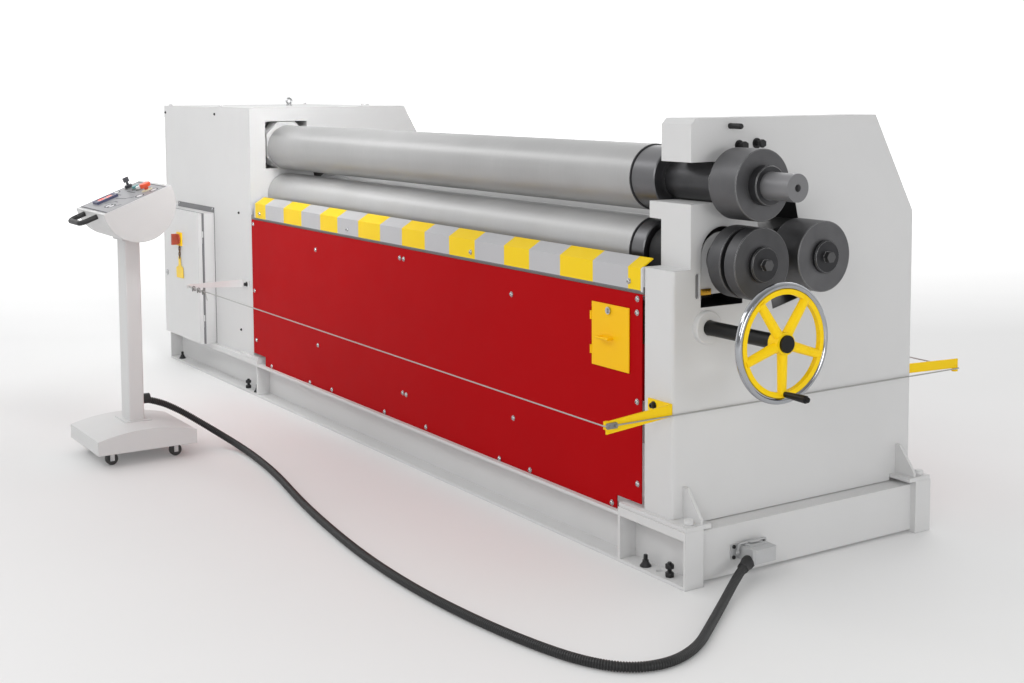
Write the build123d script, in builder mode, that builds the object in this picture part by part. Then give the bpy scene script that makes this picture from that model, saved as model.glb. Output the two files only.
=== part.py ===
"""Three-roll plate rolling machine with section rolls, drive housing and a control stand."""
import math
import os

from build123d import *

os.makedirs("parts", exist_ok=True)

# Driving dimensions of the base, in millimetres
base_length = 4022.0
base_width = 966.0
channel_height = 145.0
channel_flange = 65.0
flange_thickness = 10.0
web_thickness = 8.0
pad_thickness = 15.0
foot_plate = 12.0
foot_length = 298.0
foot_depth = 88.0
anchor_hole = 22.0
anchor_inset = 30.0

# Driving dimensions of the side frames and the drive housing
frame_thickness = 127.0
frame_span = 2784.0
frame_height = 1268.0
right_inset = 80.0
front_inset = 19.0
rear_inset = 12.0
column_depth = 61.5
column_top = 857.0
rear_chamfer_depth = 166.0
rear_chamfer_drop = 293.0
housing_length = 966.0
sheet = 3.0

# Driving dimensions of the rolls
roll_diameter = 195.0
pinch_drop = 176.5
pinch_gap = 16.5
pinch_setback = 174.0
rear_roll_offset = 229.0
rear_roll_rise = 6.0
slot_tilt = 13.7
slot_width = 152.0
neck_diameter = 123.0
journal_diameter = 110.0
top_journal_diameter = 100.0
shaft_diameter = 76.0
shaft_end_diameter = 75.0
shaft_end_length = 100.0
drive_shaft_diameter = 80.0
roll_end_gap = 165.0
section_roll_diameter = 197.0
section_roll_width = 107.0
lift_up = 14.0
rear_lift_up = 120.0
rear_lift_down = 60.0

# Driving dimensions of the hand adjustment
wheel_diameter = 318.0
wheel_overhang = 299.0
wheel_drop = 185.0
wheel_setback = 57.0
cross_shaft_diameter = 35.0
screw_diameter = 40.0

# Driving dimensions of the cabinet, the panels and the trip wire
cabinet_width = 470.0
cabinet_height = 614.0
cabinet_depth = 200.0
cabinet_proud = 77.0
cabinet_offset = 170.0
door_depth = 18.0
panel_top = 779.0
access_width = 181.0
access_height = 185.0
wire_height = 478.0
wire_diameter = 4.0
wire_reach = 228.0

# Driving dimensions of the control stand and its cable
stand_x = -286.0
stand_y = -1238.0
stand_length = 365.0
stand_width = 346.0
caster_diameter = 44.0
column_width = 90.0
column_breadth = 58.0
column_height = 800.0
head_width = 340.0
head_chord = 267.0
head_tilt = 21.1
conduit_diameter = 25.0
conduit_bore = 19.0
conduit_ribs = 90

# Clearances
running = 0.06
slide_clearance = 0.5
free_clearance = 0.35
fit_clearance = 0.05
door_gap = 2.0

# Places that follow from the sizes
x_end = base_length / 2
y_edge = base_width / 2
x_right_out = x_end - right_inset
x_right_in = x_right_out - frame_thickness
x_left_in = x_right_in - frame_span
x_left_out = x_left_in - frame_thickness
x_housing = x_left_out - housing_length
y_front = -y_edge + front_inset
y_back = y_edge - rear_inset
y_arm = y_front + column_depth
y_pinch = y_front + pinch_setback
y_rear_roll = y_pinch + rear_roll_offset
z_pad = channel_height + pad_thickness
z_foot = z_pad + foot_plate
pinch_height = frame_height - pinch_drop
z_lower = pinch_height - roll_diameter - pinch_gap
wheel_height = z_lower - wheel_drop
z_rear_roll = z_lower + rear_roll_rise
roll_radius = roll_diameter / 2
slot_half = slot_width / 2
block_half = slot_half - slide_clearance
throat_half = top_journal_diameter / 2 + 6.75
tilt_cos = math.cos(math.radians(slot_tilt))
tilt_sin = math.sin(math.radians(slot_tilt))
x_roll_left = x_left_in + 6.0
x_top_left = x_left_in + 16.0
x_roll_right = x_right_in - roll_end_gap
x_section = x_right_out + 53.0
x_section_end = x_section + section_roll_width
x_block_right = x_right_in - 100.0
x_block_left = x_left_out - 100.0
block_drop = 95.0
x_wheel = x_right_out + wheel_overhang
y_wheel = y_pinch - wheel_setback


def slab(x0, x1, y0, y1, z0, z1, mode=Mode.ADD):
    """A rectangular block between two opposite corners."""
    with Locations(((x0 + x1) / 2, (y0 + y1) / 2, (z0 + z1) / 2)):
        Box(x1 - x0, y1 - y0, z1 - z0, mode=mode)


def rod(x0, x1, y, z, radius, mode=Mode.ADD):
    """A round bar along X."""
    with Locations(Location(((x0 + x1) / 2, y, z), (0, 90, 0))):
        Cylinder(radius, x1 - x0, mode=mode)


def post(x, y, z0, z1, radius, mode=Mode.ADD):
    """A round bar along Z."""
    with Locations((x, y, (z0 + z1) / 2)):
        Cylinder(radius, z1 - z0, mode=mode)


def cross(x, y0, y1, z, radius, mode=Mode.ADD):
    """A round bar along Y."""
    with Locations(Location((x, (y0 + y1) / 2, z), (90, 0, 0))):
        Cylinder(radius, y1 - y0, mode=mode)


def tilted(t, s):
    """Place (Y, Z) of a point in the rear slot: t across it, s along it from the rear roll's axis."""
    return (y_rear_roll + t * tilt_cos - s * tilt_sin, z_rear_roll + t * tilt_sin + s * tilt_cos)


def tilted_slab(x0, x1, t0, t1, s0, s1, mode=Mode.ADD):
    """A rectangular block lined up with the rear slot."""
    y, z = tilted((t0 + t1) / 2, (s0 + s1) / 2)
    with Locations(Location(((x0 + x1) / 2, y, z), (slot_tilt, 0, 0))):
        Box(x1 - x0, t1 - t0, s1 - s0, mode=mode)


def tilted_post(x, t, s0, s1, radius, mode=Mode.ADD):
    """A round bar along the rear slot."""
    y, z = tilted(t, (s0 + s1) / 2)
    with Locations(Location((x, y, z), (slot_tilt, 0, 0))):
        Cylinder(radius, s1 - s0, mode=mode)


# Base: two outward channels, end beams, cross beams and foot pads
y_web = y_edge - channel_flange
x_left_foot = x_left_in + 76.0
x_anchor_right = (x_right_in + x_right_out) / 2 - 1.5
x_anchor_left = (x_left_in + x_left_out) / 2 + 36.5
beam_half = 30.0
end_beam_drop = 12.0
z_end_beam = z_pad - end_beam_drop
with BuildPart() as base_frame:
    for side in (-1, 1):
        inner = side * y_web
        outer = side * y_edge
        web_face = side * (y_web + web_thickness)
        slab(-x_end, x_end, min(inner, outer), max(inner, outer), 0, flange_thickness)
        slab(-x_end, x_end, min(inner, outer), max(inner, outer), channel_height - flange_thickness,
             channel_height)
        slab(-x_end, x_end, min(inner, web_face), max(inner, web_face), 0, channel_height)
        for x0 in (-x_end, x_end - web_thickness):
            slab(x0, x0 + web_thickness, min(inner, outer), max(inner, outer), 0, z_pad)
        for x0 in (x_end - foot_length, x_left_foot - 10.0):
            slab(x0, x0 + 10.0, min(inner, outer), max(inner, outer), 0, channel_height)
        slab(x_end - foot_length, x_end, min(inner, outer), max(inner, outer), channel_height, z_pad)
        slab(-x_end, x_left_foot, min(inner, outer), max(inner, outer), channel_height, z_pad)
        for x in (x_anchor_right, x_anchor_left):
            post(x, side * (y_edge - anchor_inset), -1, flange_thickness + 1, anchor_hole / 2, Mode.SUBTRACT)
    for side in (-1, 1):
        face = side * (x_end - 20.0)
        web = side * (x_end - 28.0)
        toe = side * (x_end - 98.0)
        slab(min(face, web), max(face, web), -y_web, y_web, 8.0, z_end_beam)
        slab(min(face, toe), max(face, toe), -y_web, y_web, 8.0, 16.0)
        slab(min(face, toe), max(face, toe), -y_web, y_web, z_end_beam - 8.0, z_end_beam)
    for x in (0.0, (x_left_in + x_left_out) / 2):
        slab(x - beam_half, x + beam_half, -y_web, y_web, 0, flange_thickness)
        slab(x - beam_half, x + beam_half, -y_web, y_web, channel_height - flange_thickness, channel_height)
        slab(x + beam_half - web_thickness, x + beam_half, -y_web, y_web, 0, channel_height)
base_frame.part.label = "base_frame"
export_step(base_frame.part, "parts/base_frame.step")

# Right side frame: plate with the open throat, two block slots, front column, feet and gussets
y_chamfer = y_back - rear_chamfer_depth
z_chamfer = frame_height - rear_chamfer_drop
z_slot_bottom = z_lower - 130.0
z_slot_round = z_lower + lift_up
rear_slot_low = -(rear_lift_down + 72.0 + 17.0)
rear_slot_high = rear_lift_up + 72.0 + 8.0
slot_mid_y, slot_mid_z = tilted(0, (rear_slot_low + rear_slot_high) / 2)
beam_joint = 2.0
y_foot_in = y_edge - 4.0 - foot_depth
with BuildPart() as right_side_frame:
    with BuildSketch(Plane.YZ.offset(x_right_in)):
        with BuildLine():
            Polyline(
                (y_arm, z_foot), (y_arm, frame_height - 17.0), (y_arm + 17.0, frame_height),
                (y_chamfer, frame_height), (y_back, z_chamfer), (y_back, z_foot), close=True,
            )
        make_face()
        with Locations(((y_arm - 5.0 + y_pinch) / 2, pinch_height)):
            Rectangle(y_pinch - y_arm + 5.0, 2 * throat_half, mode=Mode.SUBTRACT)
        with Locations((y_pinch, pinch_height)):
            Circle(throat_half, mode=Mode.SUBTRACT)
        with Locations((y_pinch, (z_slot_bottom + z_slot_round) / 2)):
            Rectangle(slot_width, z_slot_round - z_slot_bottom, mode=Mode.SUBTRACT)
        with Locations((y_pinch, z_slot_round)):
            Circle(slot_half, mode=Mode.SUBTRACT)
        with Locations((slot_mid_y, slot_mid_z)):
            Rectangle(slot_width, rear_slot_high - rear_slot_low, rotation=slot_tilt, mode=Mode.SUBTRACT)
        with Locations((y_wheel, wheel_height)):
            Circle(cross_shaft_diameter / 2 + running, mode=Mode.SUBTRACT)
    extrude(amount=frame_thickness)
    with BuildSketch(Plane.XY.offset(z_foot)):
        with Locations(((x_right_in + x_right_out) / 2, (y_front + y_arm) / 2)):
            column_face = Rectangle(frame_thickness, column_depth)
        fillet(column_face.vertices().group_by(Axis.Y)[0], radius=10.0)
    extrude(amount=column_top - z_foot)
    slab(x_right_in, x_right_out, -y_foot_in, y_foot_in, z_end_beam + beam_joint, z_foot)
    slab(x_right_in - 52.0, x_right_in, y_arm, y_pinch + slot_half, pinch_height - throat_half - 48.0,
         pinch_height - throat_half)
    for side in (-1, 1):
        y0 = side * (y_edge - 4.0)
        y1 = side * y_foot_in
        slab(x_end - foot_length, x_end, min(y0, y1), max(y0, y1), z_pad, z_foot)
        with BuildSketch(Plane((0, side * 420.0 + 5.0, 0), x_dir=(1, 0, 0), z_dir=(0, -1, 0))):
            with BuildLine():
                Polyline(
                    (x_right_out, z_foot), (x_end - 6.0, z_foot), (x_end - 6.0, z_foot + 12.0),
                    (x_right_out + 14.0, z_foot + 88.0), (x_right_out, z_foot + 88.0), close=True,
                )
            make_face()
        extrude(amount=10.0)
    with BuildSketch(Plane.YZ.offset(x_right_out - 6.0)):
        with Locations((y_pinch - slot_half - 12.0, z_lower - 70.0)):
            SlotOverall(70.0, 14.0, rotation=90)
    extrude(amount=10.0, mode=Mode.SUBTRACT)
right_side_frame.part.label = "right_side_frame"
export_step(right_side_frame.part, "parts/right_side_frame.step")

# Left side frame: closed front, square window for the swivel block, the same two slots
window_half = 100.0
z_window_low = pinch_height - 93.0 - 0.3
z_window_high = pinch_height + 115.5
x_pivot = x_left_in - 42.0
swivel_pin_radius = 25.0
swivel_pin_depth = 8.0
rear_shaft_s = rear_slot_low - 116.0
rear_shaft_t = 57.0
y_rear_shaft, z_rear_shaft = tilted(rear_shaft_t, rear_shaft_s)
with BuildPart() as left_side_frame:
    with BuildSketch(Plane.YZ.offset(x_left_out)):
        with BuildLine():
            Polyline(
                (y_front, z_foot), (y_front, frame_height), (y_chamfer, frame_height),
                (y_back, z_chamfer), (y_back, z_foot), close=True,
            )
        make_face()
        with Locations((y_pinch, (z_window_low + z_window_high) / 2)):
            Rectangle(2 * window_half, z_window_high - z_window_low, mode=Mode.SUBTRACT)
        with Locations((y_pinch, (z_slot_bottom + z_slot_round) / 2)):
            Rectangle(slot_width, z_slot_round - z_slot_bottom, mode=Mode.SUBTRACT)
        with Locations((y_pinch, z_slot_round)):
            Circle(slot_half, mode=Mode.SUBTRACT)
        with Locations((slot_mid_y, slot_mid_z)):
            Rectangle(slot_width, rear_slot_high - rear_slot_low, rotation=slot_tilt, mode=Mode.SUBTRACT)
        with Locations((y_wheel, wheel_height), (y_rear_shaft, z_rear_shaft)):
            Circle(cross_shaft_diameter / 2 + 6.0, mode=Mode.SUBTRACT)
    extrude(amount=frame_thickness)
    post(x_pivot, y_pinch, z_window_low - swivel_pin_depth - slide_clearance, z_window_low + 1.0,
         swivel_pin_radius + running, Mode.SUBTRACT)
    for side in (-1, 1):
        y0 = side * (y_edge - 4.0)
        y1 = side * y_foot_in
        slab(x_left_out, x_left_foot, min(y0, y1), max(y0, y1), z_pad, z_foot)
left_side_frame.part.label = "left_side_frame"
export_step(left_side_frame.part, "parts/left_side_frame.step")

# Drive housing: folded sheet cover standing on the base pads, open to the left frame and below
y_door = y_front - cabinet_proud
x_cabinet = x_housing + cabinet_offset
x_cabinet_end = x_cabinet + cabinet_width
z_cabinet = z_pad
z_cabinet_top = z_cabinet + cabinet_height
with BuildPart() as drive_housing:
    with BuildSketch(Plane.YZ.offset(x_housing)):
        with BuildLine():
            Polyline(
                (y_front, z_pad), (y_front, frame_height), (y_chamfer, frame_height),
                (y_back, z_chamfer), (y_back, z_pad), close=True,
            )
        make_face()
    extrude(amount=housing_length)
    with BuildSketch(Plane.YZ.offset(x_housing + sheet)):
        with BuildLine():
            Polyline(
                (y_front, z_pad - 20.0), (y_front, frame_height), (y_chamfer, frame_height),
                (y_back, z_chamfer), (y_back, z_pad - 20.0), close=True,
            )
        make_face()
        offset(amount=-sheet, kind=Kind.INTERSECTION)
    extrude(amount=housing_length - sheet, mode=Mode.SUBTRACT)
    slab(x_cabinet - 12.0, x_cabinet_end + 12.0, y_front - 5.0, y_front + sheet + 1.0,
         z_cabinet - 1.0, z_cabinet_top + 26.0, Mode.SUBTRACT)
drive_housing.part.label = "drive_housing"
export_step(drive_housing.part, "parts/drive_housing.step")

# Lifting eye on the housing
y_eye = 12.0
x_eye = x_housing + 453.0
eye_rise = 22.0
with BuildPart() as lifting_eye:
    post(x_eye, y_eye, frame_height, frame_height + 5.0, 15.0)
    post(x_eye, y_eye, frame_height + 5.0, frame_height + 10.0, 9.0)
    with Locations(Location((x_eye, y_eye, frame_height + eye_rise), (0, 90, 0))):
        Torus(13.0, 5.0)
lifting_eye.part.label = "lifting_eye"
export_step(lifting_eye.part, "parts/lifting_eye.step")

# Cross rail between the side frames, carrying the front panel and the guard
rail_height = 20.0
rail_depth = 40.0
with BuildPart() as front_rail:
    slab(x_left_in, x_right_in, y_front, y_front + rail_depth, panel_top, panel_top + rail_height)
    slab(x_left_in, x_right_in, y_front + 4.0, y_front + rail_depth, panel_top + 4.0,
         panel_top + rail_height - 4.0,
         Mode.SUBTRACT)
front_rail.part.label = "front_rail"
export_step(front_rail.part, "parts/front_rail.step")

# Front panel with an access opening, corner notches over the feet and a folded top edge
x_panel_left = x_left_in + 9.0
x_panel_right = x_right_in - 3.0
x_access = x_right_in - 238.0
z_access = panel_top - 230.0
with BuildPart() as front_panel:
    slab(x_panel_left, x_panel_right, y_front - sheet, y_front, channel_height, panel_top)
    slab(x_panel_left, x_panel_right, y_front - sheet, y_front + 24.0, panel_top - sheet, panel_top)
    slab(x_panel_left - 1.0, x_left_foot + 60.0, y_front - 9.0, y_front + 9.0, channel_height - 1.0,
         z_foot + 13.0,
         Mode.SUBTRACT)
    slab(x_end - foot_length - 26.0, x_panel_right + 1.0, y_front - 9.0, y_front + 9.0, channel_height - 1.0,
         z_foot + 13.0, Mode.SUBTRACT)
    slab(x_access + 10.0, x_access + access_width - 10.0, y_front - 9.0, y_front + 9.0, z_access + 10.0,
         z_access + access_height - 10.0, Mode.SUBTRACT)
    for z in (z_access + 30.0, z_access + access_height - 55.0):
        post(x_access, y_front - sheet - 3.5, z + 27.0, z + 37.0, 3.5)
        slab(x_access - 3.5, x_access + 3.5, y_front - sheet - 3.5, y_front - sheet, z + 27.0, z + 37.0)
        post(x_access, y_front - sheet - 3.5, z, z + 30.0, 1.6)
front_panel.part.label = "front_panel"
export_step(front_panel.part, "parts/front_panel.step")

# Access door in the front panel, hinged on its left edge
y_hinge = y_front - sheet - 3.5
x_latch = x_access + 0.48 * access_width
z_latch = z_access + access_height - 18.0
x_pull = x_access + 0.43 * access_width
z_pull = z_access + 0.47 * access_height
pull_half = 26.0
pull_reach = 18.0
pull_radius = 4.0
with BuildPart() as access_door:
    slab(x_access + 4.5, x_access + access_width, y_hinge - 0.5, y_hinge + 2.5, z_access,
         z_access + access_height)
    for z in (z_access + 30.0, z_access + access_height - 55.0):
        post(x_access, y_hinge, z + 1.0, z + 26.5, 3.5)
        slab(x_access, x_access + 5.0, y_hinge - 0.5, y_hinge + 2.5, z + 1.0, z + 26.5)
        post(x_access, y_hinge, z, z + 28.0, 1.6 + free_clearance, Mode.SUBTRACT)
    cross(x_latch, y_hinge - 2.0, y_hinge + 4.0, z_latch, 6.0 + free_clearance, Mode.SUBTRACT)
    rod(x_pull - pull_half - pull_radius, x_pull + pull_half + pull_radius, y_hinge - pull_reach, z_pull,
        pull_radius)
    for x in (x_pull - pull_half, x_pull + pull_half):
        cross(x, y_hinge - pull_reach, y_hinge + 1.0, z_pull, pull_radius)
access_door.part.label = "access_door"
export_step(access_door.part, "parts/access_door.step")

# Quarter-turn latch of the access door
with BuildPart() as access_latch:
    cross(x_latch, y_hinge - 5.5, y_hinge - 1.0, z_latch, 11.0)
    cross(x_latch, y_hinge - 1.0, y_hinge + 9.0, z_latch, 6.0)
    slab(x_latch - 6.0, x_latch + 18.0, y_hinge + 8.0, y_hinge + 11.0, z_latch - 6.0, z_latch + 6.0)
    slab(x_latch - 2.0, x_latch + 2.0, y_hinge - 10.0, y_hinge - 5.0, z_latch - 7.0, z_latch + 7.0)
access_latch.part.label = "access_latch"
export_step(access_latch.part, "parts/access_latch.step")

# Rear panel between the side frames
with BuildPart() as rear_panel:
    slab(x_left_in + 3.0, x_right_in - 3.0, y_back - sheet, y_back, channel_height, panel_top - 180.0)
    slab(x_left_in + 3.0, x_right_in - 3.0, y_back - 25.0, y_back, panel_top - 180.0 - sheet,
         panel_top - 180.0)
    slab(x_left_in, x_left_foot + 60.0, y_back - 9.0, y_back + 9.0, channel_height - 1.0, z_foot + 13.0,
         Mode.SUBTRACT)
    slab(x_end - foot_length - 26.0, x_right_in, y_back - 9.0, y_back + 9.0, channel_height - 1.0,
         z_foot + 13.0,
         Mode.SUBTRACT)
rear_panel.part.label = "rear_panel"
export_step(rear_panel.part, "parts/rear_panel.step")

# Guard bar in front of the lower roll: upright face with a sloped top
guard_low = panel_top + 6.0
guard_bend = panel_top + 73.0
with BuildPart() as guard_bar:
    with BuildSketch(Plane.YZ.offset(x_left_in + 41.0)):
        with BuildLine():
            Polyline(
                (y_front - 4.0, guard_low), (y_front, guard_low), (y_front, guard_bend - 2.3),
                (y_front + 41.2, guard_bend + 22.4), (y_front + 39.0, guard_bend + 25.8),
                (y_front - 4.0, guard_bend), close=True,
            )
        make_face()
    extrude(amount=frame_span - 49.0)
guard_bar.part.label = "guard_bar"
export_step(guard_bar.part, "parts/guard_bar.step")

# Swivel block of the top roll in the left frame's window, turning on a pin in the sill
block_reach = 45.0
block_rise = 206.0
with BuildPart() as top_swivel_block:
    with BuildSketch(Plane.YZ.offset(x_pivot - block_reach)):
        with Locations((y_pinch, pinch_height + 10.0)):
            block_face = Rectangle(186.0, block_rise)
        chamfer(block_face.vertices(), length=52.0)
        with Locations((y_pinch, pinch_height)):
            Circle(journal_diameter / 2 + running, mode=Mode.SUBTRACT)
    extrude(amount=2 * block_reach)
    post(x_pivot, y_pinch, z_window_low - swivel_pin_depth, pinch_height + 10.0 - block_rise / 2,
         swivel_pin_radius)
top_swivel_block.part.label = "top_swivel_block"
export_step(top_swivel_block.part, "parts/top_swivel_block.step")

# Bearing sleeve of the top roll, lying in the right frame's throat
x_sleeve = x_right_in - 56.0
with BuildPart() as top_sleeve:
    rod(x_sleeve, x_right_out + 6.0, y_pinch, pinch_height, throat_half - free_clearance)
    rod(x_sleeve - 1.0, x_right_out + 7.0, y_pinch, pinch_height, top_journal_diameter / 2 + running,
        Mode.SUBTRACT)
top_sleeve.part.label = "top_sleeve"
export_step(top_sleeve.part, "parts/top_sleeve.step")

# Gear motor on the top roll's drive shaft
motor_radius = 86.0
motor_face = x_left_out - 14.0
with BuildPart() as top_gearmotor:
    rod(motor_face - 300.0, motor_face, y_pinch, pinch_height, motor_radius)
    rod(motor_face - 320.0, motor_face - 300.0, y_pinch, pinch_height, motor_radius - 12.0)
    rod(motor_face - 640.0, motor_face - 320.0, y_pinch, pinch_height, motor_radius - 6.0)
    rod(motor_face - 690.0, motor_face - 640.0, y_pinch, pinch_height, motor_radius - 10.0)
    slab(motor_face - 520.0, motor_face - 420.0, y_pinch - 45.0, y_pinch + 45.0, pinch_height + 60.0,
         pinch_height + 125.0)
    rod(motor_face - 90.0, motor_face + 1.0, y_pinch, pinch_height, drive_shaft_diameter / 2 + running,
        Mode.SUBTRACT)
top_gearmotor.part.label = "top_gearmotor"
export_step(top_gearmotor.part, "parts/top_gearmotor.step")

# Top roll
z_top = pinch_height
collar_width = 30.0
x_shaft_step = x_section_end + collar_width
with BuildPart() as top_roll:
    rod(motor_face - 85.0, x_pivot - block_reach - 2.0, y_pinch, z_top, drive_shaft_diameter / 2)
    rod(x_pivot - block_reach - 2.0, x_top_left, y_pinch, z_top, journal_diameter / 2)
    rod(x_top_left, x_roll_right, y_pinch, z_top, roll_radius)
    rod(x_roll_right, x_sleeve - 4.0, y_pinch, z_top, neck_diameter / 2)
    rod(x_sleeve - 4.0, x_section, y_pinch, z_top, top_journal_diameter / 2)
    rod(x_section, x_shaft_step, y_pinch, z_top, shaft_diameter / 2)
    rod(x_shaft_step, x_shaft_step + shaft_end_length, y_pinch, z_top, shaft_end_diameter / 2)
    rod(x_shaft_step + shaft_end_length - 20.0, x_shaft_step + shaft_end_length + 1.0, y_pinch, z_top, 10.0,
        Mode.SUBTRACT)
    round_edges = top_roll.edges().filter_by(GeomType.CIRCLE)
    roll_rims = round_edges.filter_by(lambda e: abs(e.radius - roll_radius) < 0.01)
    chamfer(roll_rims, length=2.0)
top_roll.part.label = "top_roll"
export_step(top_roll.part, "parts/top_roll.step")

# Section roll and clamping collar on the top roll's shaft
with BuildPart() as top_section_roll:
    rod(x_section + 1.0, x_section_end, y_pinch, z_top, section_roll_diameter / 2 - 1.0)
    chamfer(top_section_roll.edges().filter_by(GeomType.CIRCLE), length=2.0)
    rod(x_section, x_section_end + 1.0, y_pinch, z_top, shaft_diameter / 2 + fit_clearance, Mode.SUBTRACT)
top_section_roll.part.label = "top_section_roll"
export_step(top_section_roll.part, "parts/top_section_roll.step")

with BuildPart() as top_collar:
    rod(x_section_end, x_shaft_step, y_pinch, z_top, 54.0)
    chamfer(top_collar.edges().filter_by(GeomType.CIRCLE).sort_by(Axis.X)[-1], length=2.0)
    rod(x_section_end - 1.0, x_shaft_step + 1.0, y_pinch, z_top, shaft_diameter / 2 + fit_clearance,
        Mode.SUBTRACT)
    post(x_section_end + collar_width / 2, y_pinch, z_top + 45.0, z_top + 60.0, 5.0, Mode.SUBTRACT)
top_collar.part.label = "top_collar"
export_step(top_collar.part, "parts/top_collar.step")

# Keeper plate beside the throat on the right frame
keeper_width = 160.0
keeper_height = 90.0
with BuildPart() as keeper_plate:
    with BuildSketch(Plane.YZ.offset(x_right_out)):
        with Locations((y_pinch + 87.0, pinch_height + 14.0)):
            Rectangle(keeper_width, keeper_height)
        with Locations((y_pinch, pinch_height)):
            Circle(throat_half + 5.0, mode=Mode.SUBTRACT)
    extrude(amount=20.0)
keeper_plate.part.label = "keeper_plate"
export_step(keeper_plate.part, "parts/keeper_plate.step")

# Sliding blocks of the lower roll with their lifting screws
x_screw_right = x_block_right + 46.0
x_screw_left = x_block_left + 50.0
jack_rise = 50.0
z_jack = wheel_height + jack_rise
with BuildPart() as lower_blocks:
    for x0, x1, xs in ((x_block_right, x_right_out - 2.0, x_screw_right), (x_block_left, x_left_in - 4.0,
                       x_screw_left)):
        with BuildSketch(Plane.YZ.offset(x0)):
            with Locations((y_pinch, z_lower - block_drop / 2)):
                Rectangle(2 * block_half, block_drop)
            with Locations((y_pinch, z_lower)):
                Circle(block_half)
                Circle(journal_diameter / 2 + running, mode=Mode.SUBTRACT)
        extrude(amount=x1 - x0)
        post(xs, y_pinch, z_jack - 85.0, z_lower - block_drop, screw_diameter / 2)
lower_blocks.part.label = "lower_blocks"
export_step(lower_blocks.part, "parts/lower_blocks.step")

# Worm jacks under the lower roll's blocks
with BuildPart() as lower_jacks:
    for x0, x1, xs in ((x_right_in - 100.0, x_right_in, x_screw_right), (x_left_out - 100.0, x_left_out,
                       x_screw_left)):
        slab(x0, x1, y_wheel - 45.0, y_pinch + 50.0, z_jack - 125.0, z_jack)
        post(xs, y_pinch, z_jack - 115.0, z_jack + 1.0, screw_diameter / 2 + free_clearance, Mode.SUBTRACT)
        rod(x0 - 1.0, x1 + 1.0, y_wheel, wheel_height, cross_shaft_diameter / 2 + running, Mode.SUBTRACT)
lower_jacks.part.label = "lower_jacks"
export_step(lower_jacks.part, "parts/lower_jacks.step")

# Lower roll with its neck, journals and drive shaft
lower_motor_face = x_block_left - 5.0
with BuildPart() as lower_roll:
    rod(lower_motor_face - 85.0, x_block_left - 2.0, y_pinch, z_lower, drive_shaft_diameter / 2)
    rod(x_block_left - 2.0, x_roll_left, y_pinch, z_lower, journal_diameter / 2)
    rod(x_roll_left, x_roll_right, y_pinch, z_lower, roll_radius)
    rod(x_roll_right, x_block_right - 4.0, y_pinch, z_lower, neck_diameter / 2)
    rod(x_block_right - 4.0, x_section - 2.0, y_pinch, z_lower, journal_diameter / 2)
    rod(x_section - 2.0, x_section_end, y_pinch, z_lower, shaft_diameter / 2)
    round_edges = lower_roll.edges().filter_by(GeomType.CIRCLE)
    roll_rims = round_edges.filter_by(lambda e: abs(e.radius - roll_radius) < 0.01)
    chamfer(roll_rims, length=2.0)
lower_roll.part.label = "lower_roll"
export_step(lower_roll.part, "parts/lower_roll.step")

# Lower section roll: two discs with a narrow neck between them
with BuildPart() as lower_section_roll:
    rod(x_section - 2.0, x_section + 49.0, y_pinch, z_lower, section_roll_diameter / 2)
    rod(x_section + 65.0, x_section_end, y_pinch, z_lower, section_roll_diameter / 2)
    chamfer(lower_section_roll.edges().filter_by(GeomType.CIRCLE), length=2.0)
    rod(x_section + 49.0, x_section + 65.0, y_pinch, z_lower, section_roll_diameter / 2 - 32.0)
    rod(x_section - 3.0, x_section_end + 1.0, y_pinch, z_lower, shaft_diameter / 2 + fit_clearance,
        Mode.SUBTRACT)
lower_section_roll.part.label = "lower_section_roll"
export_step(lower_section_roll.part, "parts/lower_section_roll.step")

with BuildPart() as lower_cap:
    rod(x_section_end, x_section_end + 13.0, y_pinch, z_lower, 48.5)
    chamfer(lower_cap.edges().filter_by(GeomType.CIRCLE).sort_by(Axis.X)[-1], length=3.0)
    with BuildSketch(Plane.YZ.offset(x_section_end + 13.0)):
        with Locations((y_pinch, z_lower)):
            RegularPolygon(14.0, 6, major_radius=False)
    extrude(amount=15.0)
lower_cap.part.label = "lower_cap"
export_step(lower_cap.part, "parts/lower_cap.step")

# Gear motor on the lower roll's drive shaft
with BuildPart() as lower_gearmotor:
    rod(lower_motor_face - 300.0, lower_motor_face, y_pinch, z_lower, motor_radius)
    rod(lower_motor_face - 320.0, lower_motor_face - 300.0, y_pinch, z_lower, motor_radius - 12.0)
    rod(lower_motor_face - 600.0, lower_motor_face - 320.0, y_pinch, z_lower, motor_radius - 6.0)
    rod(lower_motor_face - 640.0, lower_motor_face - 600.0, y_pinch, z_lower, motor_radius - 10.0)
    slab(lower_motor_face - 480.0, lower_motor_face - 380.0, y_pinch + 60.0, y_pinch + 125.0, z_lower - 45.0,
         z_lower + 45.0)
    rod(lower_motor_face - 90.0, lower_motor_face + 1.0, y_pinch, z_lower, drive_shaft_diameter / 2 + running,
        Mode.SUBTRACT)
lower_gearmotor.part.label = "lower_gearmotor"
export_step(lower_gearmotor.part, "parts/lower_gearmotor.step")

# Sliding blocks of the rear roll with their inclined screws
with BuildPart() as rear_blocks:
    for x0, x1, xs in ((x_block_right, x_right_out - 2.0, x_screw_right), (x_block_left, x_left_in - 4.0,
                       x_screw_left)):
        tilted_slab(x0, x1, -block_half, block_half, -72.0, 72.0)
        rod(x0 - 1.0, x1 + 1.0, y_rear_roll, z_rear_roll, journal_diameter / 2 + running, Mode.SUBTRACT)
        tilted_post(xs, 0, rear_slot_low - 85.0, -72.0, screw_diameter / 2)
rear_blocks.part.label = "rear_blocks"
export_step(rear_blocks.part, "parts/rear_blocks.step")

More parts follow.
